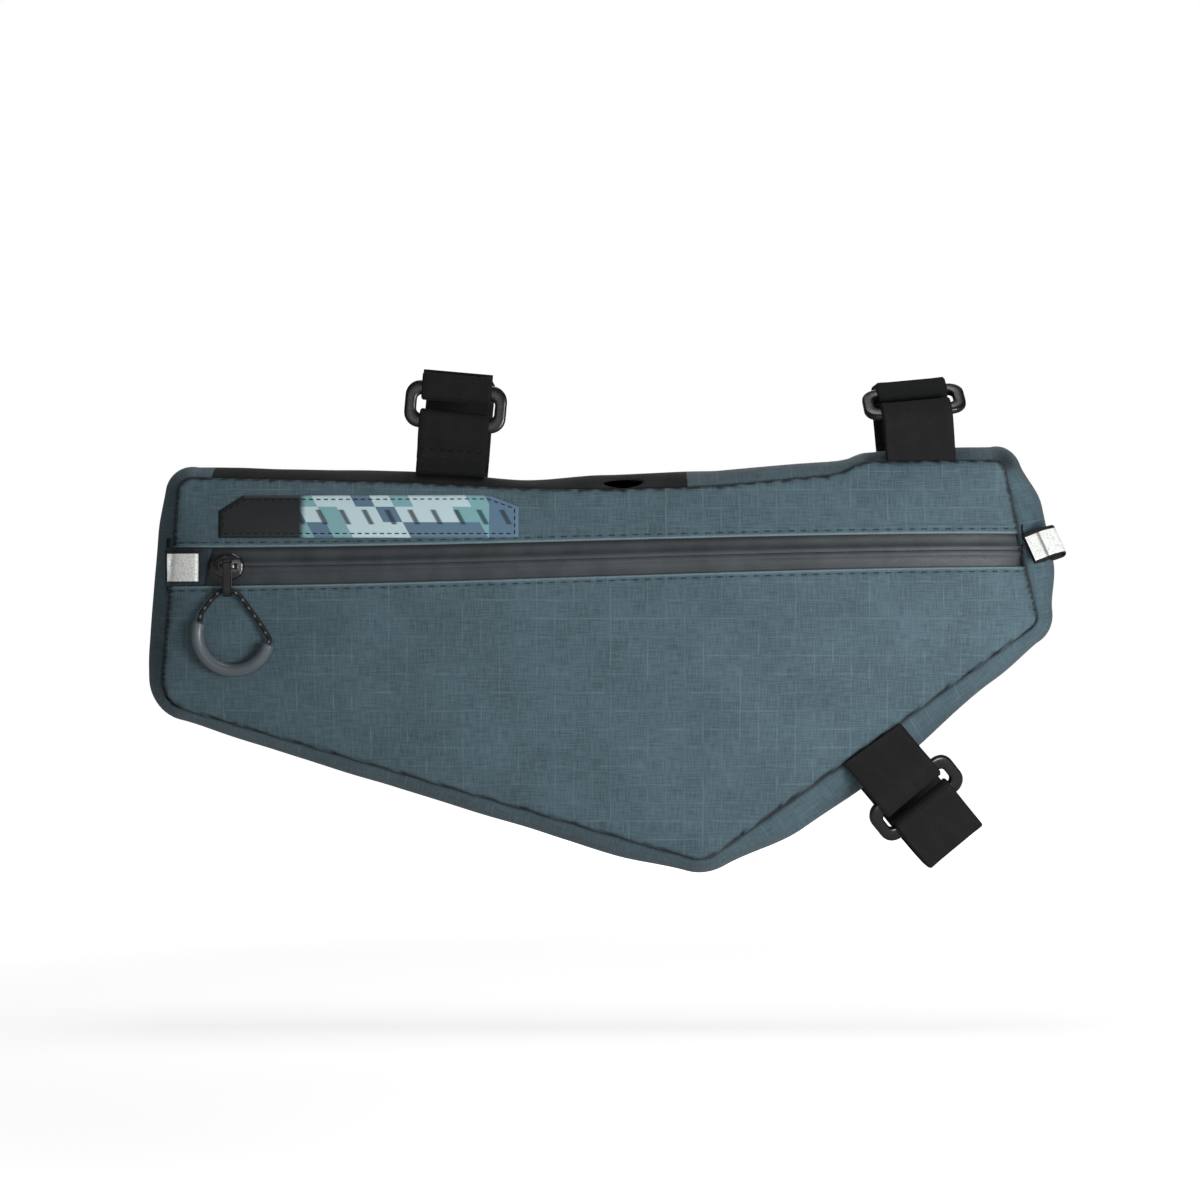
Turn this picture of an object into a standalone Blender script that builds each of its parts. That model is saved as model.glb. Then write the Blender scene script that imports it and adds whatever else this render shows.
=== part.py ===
"""A bicycle frame bag that hangs under a top tube: a hollow cloth bag with a coated zip and three strap loops.

Metres, +Z up. +X runs towards the bicycle's front, and the side with the zip faces -Y. The origin lies on the
top tube's axis, midway between the two strap loops on top.
"""

import math
from collections import namedtuple

import bmesh
import bpy
from mathutils import Vector

for old in list(bpy.data.objects):
    bpy.data.objects.remove(old, do_unlink=True)

MM = 0.001

# The bag's side panels, seam to seam
SEAM_LENGTH = 372 * MM
SEAM_HEIGHT = 164.6 * MM
GUSSET_WIDTH = 45 * MM
PANEL_CROWN = 8 * MM
CROWN_FLATNESS_ALONG = 8
CROWN_FLATNESS_DOWN = 2.4
CLOTH = 1.2 * MM
GAP = 0.3 * MM
TUBE_AXIS_ABOVE_PANEL = 24.4 * MM
SEAM_CORNER = 20 * MM
GUSSET_BULGE = 11 * MM
TUBE_DIAMETER = 25.4 * MM

# The zip across the front panel
ZIP_BAND_REAR = 16 * MM
ZIP_BAND_FRONT = 13.5 * MM
ZIP_TAPE = 1.0 * MM
TAPE_UNDERLAP = 4 * MM
TAPE_END_CLEARANCE = 2.4 * MM
GARAGE_LENGTH_TOP = 20 * MM
GARAGE_LENGTH_BOTTOM = 16 * MM

# The cable port through the black strip
PORT_LENGTH = 17 * MM
PORT_WIDTH = 8 * MM
PORT_FROM_EDGE = 4.2 * MM
PORT_TILT_DEG = 23

# The webbing and its rings
WEBBING_WIDTH = 29.4 * MM
WEBBING = 1.8 * MM
RING_SLOT_CLEARANCE = 3.6 * MM
RING_SLOT_HEIGHT = 8 * MM
RING_SIDE_BAR = 5 * MM
RING_CROSS_BAR = 6 * MM
RING_THICKNESS = 3 * MM
RING_CORNER = 6 * MM
RING_SLOT_CORNER = 2 * MM
WRAP_CLEARANCE = 0.45 * MM
STRAP_BACK_INSET = 5 * MM
STRAP_BACK_CORNER = 8 * MM
LEAN_FROM = 2 * MM
LEAN_TO = 9 * MM
FOOT_LENGTH = 9 * MM
FOOT_SEAT = 0.6 * MM
FOOT_BEND = 2.4 * MM
ANCHOR_BEHIND_RING = 2.2 * MM
ANCHOR_STRAIGHT = 12 * MM
ANCHOR_BEND = 6 * MM
FRONT_PLY_END = 6.3 * MM
SEAM_PLY_HEIGHT = 3 * MM

# The reflective tabs
TAB_WIDTH = 12 * MM
TAB_RIBBON = 1.0 * MM
REAR_TAB_LENGTH = 13 * MM
REAR_TAB_OPENING = 1.6 * MM
REAR_TAB_FOLD = 1.25 * MM
FRONT_TAB_LENGTH = 14.5 * MM
FRONT_TAB_DEPTH = 5.4 * MM
FRONT_TAB_LIFT = 1.4 * MM
FRONT_TAB_RISE_DEG = 21
FRONT_TAB_TURN_DEG = 24

# The patch on the upper front
LABEL_LENGTH = 125.6 * MM
LABEL_HEIGHT = 18 * MM
LABEL = 0.8 * MM

# The zip's slider and its pull
SLIDER_LENGTH = 11 * MM
SLIDER_WIDTH = 9 * MM
SLIDER_THICKNESS = 3 * MM
SLIDER_SEAT = 0.8 * MM
SLIDER_EDGE = 0.9 * MM
BRIDGE_LENGTH = 8.4 * MM
BRIDGE_WIDTH = 2.6 * MM
BRIDGE_BAR = 1.2 * MM
BRIDGE_EDGE = 0.5 * MM
BRIDGE_GAP = 2.7 * MM
PULL_BAND_WIDTH = 4.4 * MM
PULL_BAND = 1.0 * MM
PULL_BAND_LENGTH = 10 * MM
CORD_DIAMETER = 2.0 * MM
GRIP_DIAMETER = 5.4 * MM
GRIP_ARC_RADIUS = 15.3 * MM
GRIP_CENTRE_ALONG = 2.3 * MM
GRIP_CENTRE_DOWN = 18.1 * MM
GRIP_FROM_DEG = 161
GRIP_TO_DEG = 344

# How finely curves are cut
RUN_STEP = 17 * MM
ARC_STEP_DEG = 24
PROFILE_STEPS = 6

# The front panel's seam, from the strip's rear end down the rear edge, along the bottom and back over the top.
# along is a share of SEAM_LENGTH and down a share of SEAM_HEIGHT. radius rounds the corner, as a share of
# SEAM_CORNER, and bulge is how far the gusset stands out there, as a share of GUSSET_BULGE.
Station = namedtuple("Station", "name along down radius bulge")
STATIONS = (
    Station("strip_rear", 0.061, 0.003, 0, 0.3091),
    Station("rear_top", 0.021, 0.000, 0.5, 0.2545),
    Station("rear_upper", 0.016, 0.161, 0, 0.4727),
    Station("rear_lower", 0.005, 0.449, 0, 0.4182),
    Station("rear_bottom", 0.000, 0.589, 0.75, 0.2727),
    Station("slope_rear", 0.161, 0.696, 0, 0.4),
    Station("slope_middle", 0.410, 0.861, 0, 0.4909),
    Station("slope_front", 0.523, 0.936, 0, 0.5636),
    Station("keel", 0.6185, 1.000, 0.7, 0.3636),
    Station("rise_low", 0.714, 0.844, 0, 0.8909),
    Station("rise_middle", 0.808, 0.694, 0, 1),
    Station("rise_high", 0.9345, 0.4885, 0, 0.6636),
    Station("front_low", 1.000, 0.383, 0.35, 0.4),
    Station("front_bend", 0.983, 0.235, 1, 1),
    Station("front_upper", 0.9705, 0.094, 0, 0.9455),
    Station("front_top", 0.958, -0.041, 0.45, 0.5091),
    Station("crest_front", 0.9345, -0.042, 0, 0.2909),
    Station("crest_strap", 0.8555, -0.041, 0, 0.3455),
    Station("crest_rear", 0.796, -0.038, 0.6, 0.2364),
    Station("crest_foot", 0.7685, -0.005, 1, 0.4545),
    Station("shoulder", 0.632, 0.024, 3, 0.4909),
    Station("strip_front", 0.599, 0.027, 0, 0.5091),
    Station("top_middle", 0.511, 0.033, 3, 0.4545),
    Station("top_dip", 0.410, 0.030, 3, 0.2364),
    Station("top_strap", 0.2855, 0.015, 3, 0.3091),
)
ORDER = {station.name: index for index, station in enumerate(STATIONS)}

# Each strap stands on the gusset a share of the way from one station to the next. lean turns it in the plane
# of the panels. In the loop's side view, top is its height over the gusset, and ring_inset, ring_height and
# ring_tilt place the ring behind the front seam. nose_inset and nose_radius round the loop's top front corner.
# Lengths are shares of TUBE_DIAMETER. anchor says whether the short webbing has a foot on the gusset or comes
# out of the front seam.
Strap = namedtuple(
    "Strap", "name start end share lean top ring_inset ring_height ring_tilt nose_inset nose_radius anchor"
)
STRAPS = (
    Strap("rear_top", "top_dip", "top_strap", 0.65, -2, 1.6181, 0.2165, 1.1339, 0, 0.1102, 0.1181, "foot"),
    Strap("front_top", "crest_front", "crest_strap", 0.93, 5, 1.1417, 0.2165, 0.7953, 52, 0.4843, 0.1181, "seam"),
    Strap("down_tube", "rise_middle", "rise_high", 0.02, 4, 1.6969, 0.1378, 0.6496, 25, 0.3346, 0.3543, "seam"),
)

# The label's upper edge: along is a share of LABEL_LENGTH, top a share of LABEL_HEIGHT
LabelEdge = namedtuple("LabelEdge", "along top")
LABEL_EDGES = (
    LabelEdge(0.0, 0.62),
    LabelEdge(0.045, 0.96),
    LabelEdge(0.95, 1.0),
    LabelEdge(1.0, 0.74),
)
LABEL_ALONG = 0.0711
LABEL_BOTTOM = 0.163

# The front tab's ribbon seen from above, from its sewn end round the loop and back. out is a share of
# FRONT_TAB_LENGTH, deep and radius shares of FRONT_TAB_DEPTH.
TabCorner = namedtuple("TabCorner", "out deep radius")
FRONT_TAB_CORNERS = (
    TabCorner(0.04, 0.0, 0),
    TabCorner(0.36, 0.3, 0.2778),
    TabCorner(0.46, 0.12, 0.2222),
    TabCorner(0.60, 0.72, 0.3704),
    TabCorner(1.0, 0.86, 0.3333),
    TabCorner(0.98, -0.06, 0.3333),
    TabCorner(0.62, -0.36, 0.5556),
    TabCorner(0.08, -0.33, 0),
)

# Shares of SEAM_LENGTH and SEAM_HEIGHT for what lies on the front
ZIP_REAR_DOWN = 0.237
ZIP_FRONT_DOWN = 0.194
SLIDER_ALONG = 0.0825
PORT_ALONG = 0.526
REAR_TAB_ALONG = 0.0125
REAR_TAB_DOWN = 0.235
FRONT_TAB_ALONG = 0.982
FRONT_TAB_DOWN = 0.196

# The cord's route between the grip's two ends, from the point where it passes through the band: along and up in
# the panel's plane, lift from the cloth, in millimetres.
RoutePoint = namedtuple("RoutePoint", "along up lift")
CORD_ROUTE = (
    RoutePoint(-11.10, -9.60, 2.8),
    RoutePoint(-8.30, -5.60, 2.5),
    RoutePoint(-5.00, -1.90, 2.8),
    RoutePoint(-2.60, -0.20, 3.4),
    RoutePoint(0.00, 0.00, 3.5),
    RoutePoint(2.60, -0.20, 3.4),
    RoutePoint(5.20, -2.30, 2.8),
    RoutePoint(8.60, -6.80, 2.2),
    RoutePoint(12.40, -12.00, 2.2),
    RoutePoint(15.60, -16.90, 2.7),
)
CORD_PASS = CORD_ROUTE[4]



def strap_along(strap):
    """Where a strap stands, as a share of SEAM_LENGTH."""
    start = STATIONS[ORDER[strap.start]].along
    end = STATIONS[ORDER[strap.end]].along
    return start + (end - start) * strap.share


LEFT_X = -SEAM_LENGTH * (strap_along(STRAPS[0]) + strap_along(STRAPS[1])) / 2
TOP_Z = -TUBE_AXIS_ABOVE_PANEL
SEAM_Y = GUSSET_WIDTH / 2
BAND_Y = SEAM_Y - CLOTH - GAP


def material(name, color, roughness, metallic=0.0):
    made = bpy.data.materials.new(name)
    made.use_nodes = True
    shader = made.node_tree.nodes["Principled BSDF"]
    shader.inputs["Base Color"].default_value = (*color, 1)
    shader.inputs["Roughness"].default_value = roughness
    shader.inputs["Metallic"].default_value = metallic
    return made


RIPSTOP = material("ripstop_cloth", (0.075, 0.125, 0.15), 0.75)
DARK_CLOTH = material("dark_cloth", (0.03, 0.05, 0.06), 0.7)
STRIP = material("rubberised_cloth", (0.02, 0.02, 0.022), 0.6)
COATED_TAPE = material("coated_zip_tape", (0.05, 0.06, 0.065), 0.45)
BLACK_WEBBING = material("black_webbing", (0.018, 0.018, 0.02), 0.85)
RING_PLASTIC = material("black_acetal", (0.012, 0.012, 0.014), 0.3)
RUBBER = material("black_rubber", (0.03, 0.033, 0.036), 0.5)
CORD_NYLON = material("black_cord", (0.03, 0.03, 0.035), 0.8)
SLIDER_METAL = material("black_enamelled_zinc", (0.01, 0.01, 0.012), 0.3, 0.6)
REFLECTIVE = material("reflective_ribbon", (0.72, 0.74, 0.72), 0.4)
LABEL_PRINT = material("printed_label", (0.28, 0.42, 0.46), 0.5)


def in_plane(along, down):
    """The point of the panel's plane at these shares, as (x, z)."""
    return Vector((LEFT_X + along * SEAM_LENGTH, TOP_Z - down * SEAM_HEIGHT))


def rounded(corners, closed=False, step=RUN_STEP):
    """(point, place) along a path of (point, radius) corners, with arcs at the corners.

    place counts corners: a whole number is a corner, or the middle of its arc.
    """
    count = len(corners)
    found = []
    trims = []
    for index, (point, radius) in enumerate(corners):
        before = corners[index - 1][0]
        after = corners[(index + 1) % count][0]
        trim = 0.0
        if radius > 0 and (closed or 0 < index < count - 1):
            turn = (point - before).angle(after - point)
            longest = 0.48 * min((point - before).length, (after - point).length)
            trim = min(radius * math.tan(turn / 2), longest)
        trims.append(trim)
    for index, (point, radius) in enumerate(corners):
        before = corners[index - 1][0]
        after, _ = corners[(index + 1) % count]
        trim = trims[index]
        if trim > 0:
            back = (before - point).normalized()
            ahead = (after - point).normalized()
            turn = math.pi - back.angle(ahead)
            steps = 2 * max(1, math.ceil(math.degrees(turn) / ARC_STEP_DEG / 2))
            reach = trim / math.tan(turn / 2)
            centre = point + (back + ahead).normalized() * math.hypot(reach, trim)
            first = point + back * trim - centre
            last = point + ahead * trim - centre
            for k in range(steps + 1):
                share = k / steps
                arm = (
                    first * math.sin((1 - share) * turn) + last * math.sin(share * turn)
                ) / math.sin(turn)
                spread = trim / (point - (before if share < 0.5 else after)).length
                found.append((centre + arm, index + (2 * share - 1) * spread))
        else:
            found.append((point.copy(), float(index)))
        if index == count - 1 and not closed:
            break
        run = after - point
        start = trim / run.length
        end = 1 - trims[(index + 1) % count] / run.length
        pieces = max(1, math.ceil((end - start) * run.length / step))
        for k in range(1, pieces):
            share = start + (end - start) * k / pieces
            found.append((point + run * share, index + share))
    return found


def ease(share):
    return (1 - math.cos(math.pi * share)) / 2


def bulge_at(place):
    index = int(math.floor(place)) % len(STATIONS)
    share = place - math.floor(place)
    here = STATIONS[index].bulge
    following = STATIONS[(index + 1) % len(STATIONS)].bulge
    return (here + (following - here) * ease(share)) * GUSSET_BULGE


# One row of the seam: its point, the direction out of the bag, the bulge and the place along STATIONS
Row = namedtuple("Row", "point out bulge place")


def seam_rows():
    path = rounded([(in_plane(s.along, s.down), s.radius * SEAM_CORNER) for s in STATIONS], closed=True)
    rows = []
    for index, (point, place) in enumerate(path):
        along = path[(index + 1) % len(path)][0] - path[index - 1][0]
        out = Vector((-along.y, along.x)).normalized()
        if out.dot(point - in_plane(0.55, 0.4)) < 0:
            out = -out
        rows.append(Row(point, out, bulge_at(place), place))
    return rows


ROWS = seam_rows()


def rows_between(start, end):
    """The seam's rows from one station to another, onwards round the seam."""
    low = ORDER[start]
    high = ORDER[end]
    if high > low:
        return [row for row in ROWS if low - 1e-6 <= row.place <= high + 1e-6]
    return [row for row in ROWS if row.place >= low - 1e-6] + [
        row for row in ROWS if row.place <= high + 1e-6
    ]


class Side:
    """One side of the panel's outline, read by its share of length."""

    def __init__(self, points):
        self.points = points
        self.lengths = [0.0]
        for before, after in zip(points, points[1:]):
            self.lengths.append(self.lengths[-1] + (after - before).length)

    def shares(self):
        return [length / self.lengths[-1] for length in self.lengths]

    def at(self, share):
        wanted = share * self.lengths[-1]
        for index in range(1, len(self.points)):
            if wanted <= self.lengths[index] or index == len(self.points) - 1:
                run = self.lengths[index] - self.lengths[index - 1]
                part = (wanted - self.lengths[index - 1]) / run
                return self.points[index - 1].lerp(self.points[index], part)


TOP_SIDE = Side([row.point for row in reversed(rows_between("front_top", "rear_top"))])
BOTTOM_SIDE = Side([row.point for row in rows_between("rear_bottom", "front_low")])
REAR_SIDE = Side([row.point for row in rows_between("rear_top", "rear_bottom")])
FRONT_SIDE = Side([row.point for row in reversed(rows_between("front_low", "front_top"))])


def plane_point(u, v):
    """The panel's point at u from rear to front and v from top to bottom, as (x, z)."""
    across = TOP_SIDE.at(u) * (1 - v) + BOTTOM_SIDE.at(u) * v
    downward = REAR_SIDE.at(v) * (1 - u) + FRONT_SIDE.at(v) * u
    corners = (
        TOP_SIDE.at(0) * (1 - u) * (1 - v)
        + TOP_SIDE.at(1) * u * (1 - v)
        + BOTTOM_SIDE.at(0) * (1 - u) * v
        + BOTTOM_SIDE.at(1) * u * v
    )
    return across + downward - corners


def crown(u, v):
    """How far the panel's outer face stands out of the seam's plane."""
    along = 1 - abs(2 * u - 1) ** CROWN_FLATNESS_ALONG
    down = 1 - abs(2 * v - 1) ** CROWN_FLATNESS_DOWN
    return PANEL_CROWN * along * down


def front_point(u, v, lift=0.0):
    flat = plane_point(u, v)
    return Vector((flat.x, -(SEAM_Y + crown(u, v) + lift), flat.y))


def back_point(u, v):
    flat = plane_point(u, v)
    return Vector((flat.x, SEAM_Y + crown(u, v), flat.y))


def v_at_height(u, height):
    """Where column u of the panel is at a height z."""
    low = 0.0
    high = 1.0
    for _ in range(30):
        middle = (low + high) / 2
        if plane_point(u, middle).y > height:
            low = middle
        else:
            high = middle
    return (low + high) / 2


def uv_at(x, z):
    """The panel's u and v at a point of its plane."""
    u = (x - LEFT_X) / SEAM_LENGTH
    v = 0.5
    for _ in range(12):
        v = v_at_height(u, z)
        u = min(max(u + (x - plane_point(u, v).x) / SEAM_LENGTH, 0.0), 1.0)
    return u, v


def on_front(x, z, lift=0.0):
    """The point of the front panel's outer face at x and z, lifted off it."""
    u, v = uv_at(x, z)
    return Vector((x, -(SEAM_Y + crown(u, v) + lift), z))


def zip_height(x):
    """The height of the zip's middle line at x."""
    share = (x - LEFT_X) / SEAM_LENGTH
    return TOP_Z - SEAM_HEIGHT * (ZIP_REAR_DOWN + (ZIP_FRONT_DOWN - ZIP_REAR_DOWN) * ease(share))


def zip_half(x):
    """Half the width of the zip's open band at x."""
    share = (x - LEFT_X) / SEAM_LENGTH
    return (ZIP_BAND_REAR + (ZIP_BAND_FRONT - ZIP_BAND_REAR) * share) / 2


def zip_v(u, offset):
    """The v of a line that runs beside the zip's middle line: offset(x) is how far above it."""
    v = v_at_height(u, zip_height(plane_point(u, 0.3).x))
    x = plane_point(u, v).x
    return v_at_height(u, zip_height(x) + offset(x))


def add_object(name, mesh, finish):
    obj = bpy.data.objects.new(name, mesh)
    bpy.context.scene.collection.objects.link(obj)
    mesh.materials.append(finish)
    return obj


def smooth(mesh):
    mesh.shade_smooth()
    mesh.set_sharp_from_angle(angle=math.radians(40))


def sheet(name, sections, thickness, finish, outward=None, offset=-1, closed=False):
    """A wall drawn from one section of points to the next, then thickened.

    outward gives a direction that the drawn face looks in, and offset -1 puts the wall behind that face.
    """
    bm = bmesh.new()
    verts = [bm.verts.new(point) for point in sections[0]]
    edges = [bm.edges.new(pair) for pair in zip(verts, verts[1:])]
    first_edges = edges
    for section in sections[1:]:
        grown = bmesh.ops.extrude_edge_only(bm, edges=edges)["geom"]
        edges = [item for item in grown if isinstance(item, bmesh.types.BMEdge)]
        bm.verts.index_update()
        ahead = {}
        for edge in edges:
            for vert in edge.verts:
                ahead[vert] = None
        ordered = sorted(ahead, key=lambda vert: vert.index)
        by_source = {}
        for vert in ordered:
            source = next(
                edge.other_vert(vert) for edge in vert.link_edges if edge.other_vert(vert) in verts
            )
            by_source[verts.index(source)] = vert
        verts = [by_source[index] for index in range(len(section))]
        for vert, point in zip(verts, section):
            vert.co = point
        edges = [bm.edges.get(pair) for pair in zip(verts, verts[1:])]
    if closed:
        bmesh.ops.bridge_loops(bm, edges=first_edges + edges)
        bmesh.ops.recalc_face_normals(bm, faces=bm.faces)
    bm.normal_update()
    if outward is not None:
        facing = sum(face.normal.dot(outward(face.calc_center_median())) for face in bm.faces)
        if facing < 0:
            bmesh.ops.reverse_faces(bm, faces=bm.faces)
    mesh = bpy.data.meshes.new(name)
    bm.to_mesh(mesh)
    bm.free()
    smooth(mesh)
    obj = add_object(name, mesh, finish)
    wall = obj.modifiers.new("wall", "SOLIDIFY")
    wall.thickness = thickness
    wall.offset = offset
    return obj


def towards_front(_):
    return Vector((0, -1, 0))


def towards_back(_):
    return Vector((0, 1, 0))


def spread(count, ends=1.0):
    """Shares from 0 to 1, closer together near both ends."""
    even = [k / count for k in range(count + 1)]
    return [share + ends * (ease(share) - share) for share in even]


def make_panels():
    columns = BOTTOM_SIDE.shares()
    sheet(
        "back_panel",
        [[back_point(u, v) for v in spread(12)] for u in columns],
        CLOTH,
        RIPSTOP,
        towards_back,
    )
    upper = []
    lower = []
    for u in columns:
        edge = zip_v(u, zip_half)
        upper.append([front_point(u, edge * share) for share in (0, 0.12, 0.32, 0.6, 0.85, 1)])
        edge = zip_v(u, lambda x: -zip_half(x))
        lower.append([front_point(u, edge + (1 - edge) * share) for share in spread(8, 0.8)])
    sheet("front_panel_upper", upper, CLOTH, RIPSTOP, towards_front)
    sheet("front_panel_lower", lower, CLOTH, RIPSTOP, towards_front)


def make_zip():
    end = TAPE_END_CLEARANCE / SEAM_LENGTH
    columns = [end + (1 - 2 * end) * share for share in spread(24, 0.6)]
    lift = -(CLOTH + GAP)
    halves = {
        "zip_tape_upper": (lambda x: zip_half(x) + TAPE_UNDERLAP, lambda x: GAP / 2),
        "zip_tape_lower": (lambda x: -GAP / 2, lambda x: -zip_half(x) - TAPE_UNDERLAP),
    }
    for name, (top, bottom) in halves.items():
        sections = []
        for u in columns:
            high = zip_v(u, top)
            low = zip_v(u, bottom)
            sections.append([front_point(u, high + (low - high) * share, lift) for share in (0, 0.5, 1)])
        sheet(name, sections, ZIP_TAPE, COATED_TAPE, towards_front)

    sections = []
    for share in (0, 0.5, 1):
        ends = []
        for length, offset in (
            (GARAGE_LENGTH_TOP, lambda x: zip_half(x) - GAP),
            (GARAGE_LENGTH_BOTTOM, lambda x: GAP - zip_half(x)),
        ):
            u = end + share * length / SEAM_LENGTH
            ends.append(front_point(u, zip_v(u, offset), GAP / 2))
        middle = on_front(*(ends[0].xz + ends[1].xz) / 2, GAP / 2)
        sections.append([ends[0], middle, ends[1]])
    sheet("zip_garage", sections, CLOTH, DARK_CLOTH, towards_front)


def band_section(row, shift=0.0, along=Vector((0, 0))):
    """The gusset's section at a row of the seam, from front to back."""
    section = []
    for k in range(PROFILE_STEPS + 1):
        s = 2 * k / PROFILE_STEPS - 1
        flat = row.point + row.out * (row.bulge * (1 - s * s) + shift) + along
        section.append(Vector((flat.x, s * BAND_Y, flat.y)))
    return section


def band(name, start, end, finish):
    """A stretch of the gusset, half a gap short of each of its ends."""
    rows = rows_between(start, end)
    ahead = (rows[1].point - rows[0].point).normalized() * GAP / 2
    back = (rows[-2].point - rows[-1].point).normalized() * GAP / 2
    sections = [band_section(row) for row in rows]
    sections[0] = band_section(rows[0], along=ahead)
    sections[-1] = band_section(rows[-1], along=back)
    middle = in_plane(0.5, 0.5)

    def away(point):
        return Vector((point.x - middle.x, 0, point.z - middle.y))

    return sheet(name, sections, CLOTH, finish, away)


def cut(obj, cutter):
    cutter.hide_render = True
    cutter.display_type = "WIRE"
    hole = obj.modifiers.new("hole", "BOOLEAN")
    hole.operation = "DIFFERENCE"
    hole.object = cutter


def join(obj, other):
    other.hide_render = True
    other.display_type = "WIRE"
    union = obj.modifiers.new("join", "BOOLEAN")
    union.operation = "UNION"
    union.object = other


def seam_at(share, start, end):
    """The seam's point, outward direction and bulge a share of the way between two stations."""
    rows = rows_between(start, end)
    side = Side([row.point for row in rows])
    point = side.at(share)
    nearest = min(rows, key=lambda row: (row.point - point).length)
    lowest = rows[0].place
    return point, nearest.out, bulge_at(lowest + share * (ORDER[end] - ORDER[start]))


def port_centre():
    """Where the cable port's axis crosses the strip, and the axis."""
    x = LEFT_X + PORT_ALONG * SEAM_LENGTH
    row = min(rows_between("strip_front", "strip_rear"), key=lambda r: abs(r.point.x - x))
    depth = BAND_Y - PORT_FROM_EDGE
    height = row.point.y + row.bulge * (1 - (depth / BAND_Y) ** 2)
    tilt = math.radians(PORT_TILT_DEG)
    return Vector((x, -depth, height)), Vector((0, -math.sin(tilt), math.cos(tilt)))


def make_gusset():
    band("gusset", "strip_rear", "strip_front", RIPSTOP)
    strip = band("top_strip", "strip_front", "strip_rear", STRIP)
    centre, axis = port_centre()
    bm = bmesh.new()
    bmesh.ops.create_cone(
        bm,
        cap_ends=True,
        segments=16,
        radius1=PORT_LENGTH / 2,
        radius2=PORT_LENGTH / 2,
        depth=8 * CLOTH,
    )
    mesh = bpy.data.meshes.new("cable_port_cutter")
    for vert in bm.verts:
        vert.co.y *= PORT_WIDTH / PORT_LENGTH
    bm.to_mesh(mesh)
    bm.free()
    cutter = add_object("cable_port_cutter", mesh, STRIP)
    cutter.location = centre
    cutter.rotation_euler = Vector((0, 0, 1)).rotation_difference(axis).to_euler()
    cut(strip, cutter)


class Stand:
    """Where one strap stands: its base on the gusset's crest, its way up and across, and the gusset's curve."""

    def __init__(self, strap):
        start, end = strap.start, strap.end
        self.seam, out, self.bulge = seam_at(strap.share, start, end)
        turn = math.radians(strap.lean)
        self.up = Vector(
            (
                out.x * math.cos(turn) - out.y * math.sin(turn),
                out.x * math.sin(turn) + out.y * math.cos(turn),
            )
        )
        self.across = Vector((self.up.y, -self.up.x))
        self.seam_way = Vector((out.y, -out.x))
        self.base = self.seam + out * self.bulge

    def place(self, depth, height, side=0.0):
        """The point at a depth towards the viewer, a height over the crest and a way across.

        Where it is sewn down the webbing lies square to the gusset, and higher up it leans.
        """
        share = min(max((height - LEAN_FROM) / (LEAN_TO - LEAN_FROM), 0.0), 1.0)
        across = self.seam_way.lerp(self.across, share).normalized()
        flat = self.base + self.up * height + across * side
        return Vector((flat.x, -depth, flat.y))

    def seated(self, depth, radius):
        """A corner of webbing that lies on the gusset at a depth."""
        drop = self.bulge * (depth / BAND_Y) ** 2
        return (depth, FOOT_SEAT + WEBBING / 2 - drop, radius)


def ribbon(name, stand, corners, finish):
    """Webbing along a rounded path of (depth, height, radius) corners."""
    path = rounded([(Vector((d, h)), r) for d, h, r in corners])
    half = WEBBING_WIDTH / 2
    sections = [[stand.place(p.x, p.y, -half), stand.place(p.x, p.y, half)] for p, _ in path]
    return sheet(name, sections, WEBBING, finish, offset=0)


def make_ring(name, stand, centre, up_axis):
    """The rounded ring with one slot, in the plane of up_axis."""
    slot_length = WEBBING_WIDTH + RING_SLOT_CLEARANCE
    bm = bmesh.new()
    loops = []
    for length, height, corner in (
        (
            slot_length + 2 * RING_SIDE_BAR,
            RING_SLOT_HEIGHT + 2 * RING_CROSS_BAR,
            RING_CORNER,
        ),
        (slot_length, RING_SLOT_HEIGHT, RING_SLOT_CORNER),
    ):
        corners = [
            (Vector((sx * length / 2, sy * height / 2)), corner)
            for sx, sy in ((1, 1), (-1, 1), (-1, -1), (1, -1))
        ]
        verts = []
        for point, _ in rounded(corners, closed=True, step=length):
            flat = centre + up_axis * point.y
            verts.append(bm.verts.new(stand.place(flat.x, flat.y, point.x)))
        loops += [bm.edges.new((a, b)) for a, b in zip(verts, verts[1:] + verts[:1])]
    bmesh.ops.bridge_loops(bm, edges=loops)
    bm.normal_update()
    mesh = bpy.data.meshes.new(name)
    bm.to_mesh(mesh)
    bm.free()
    smooth(mesh)
    obj = add_object(name, mesh, RING_PLASTIC)
    wall = obj.modifiers.new("thickness", "SOLIDIFY")
    wall.thickness = RING_THICKNESS
    wall.offset = 0
    edge = obj.modifiers.new("round", "BEVEL")
    edge.width = 0.3 * RING_THICKNESS
    edge.segments = 2
    edge.limit_method = "ANGLE"
    edge.angle_limit = math.radians(60)
    return obj


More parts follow.
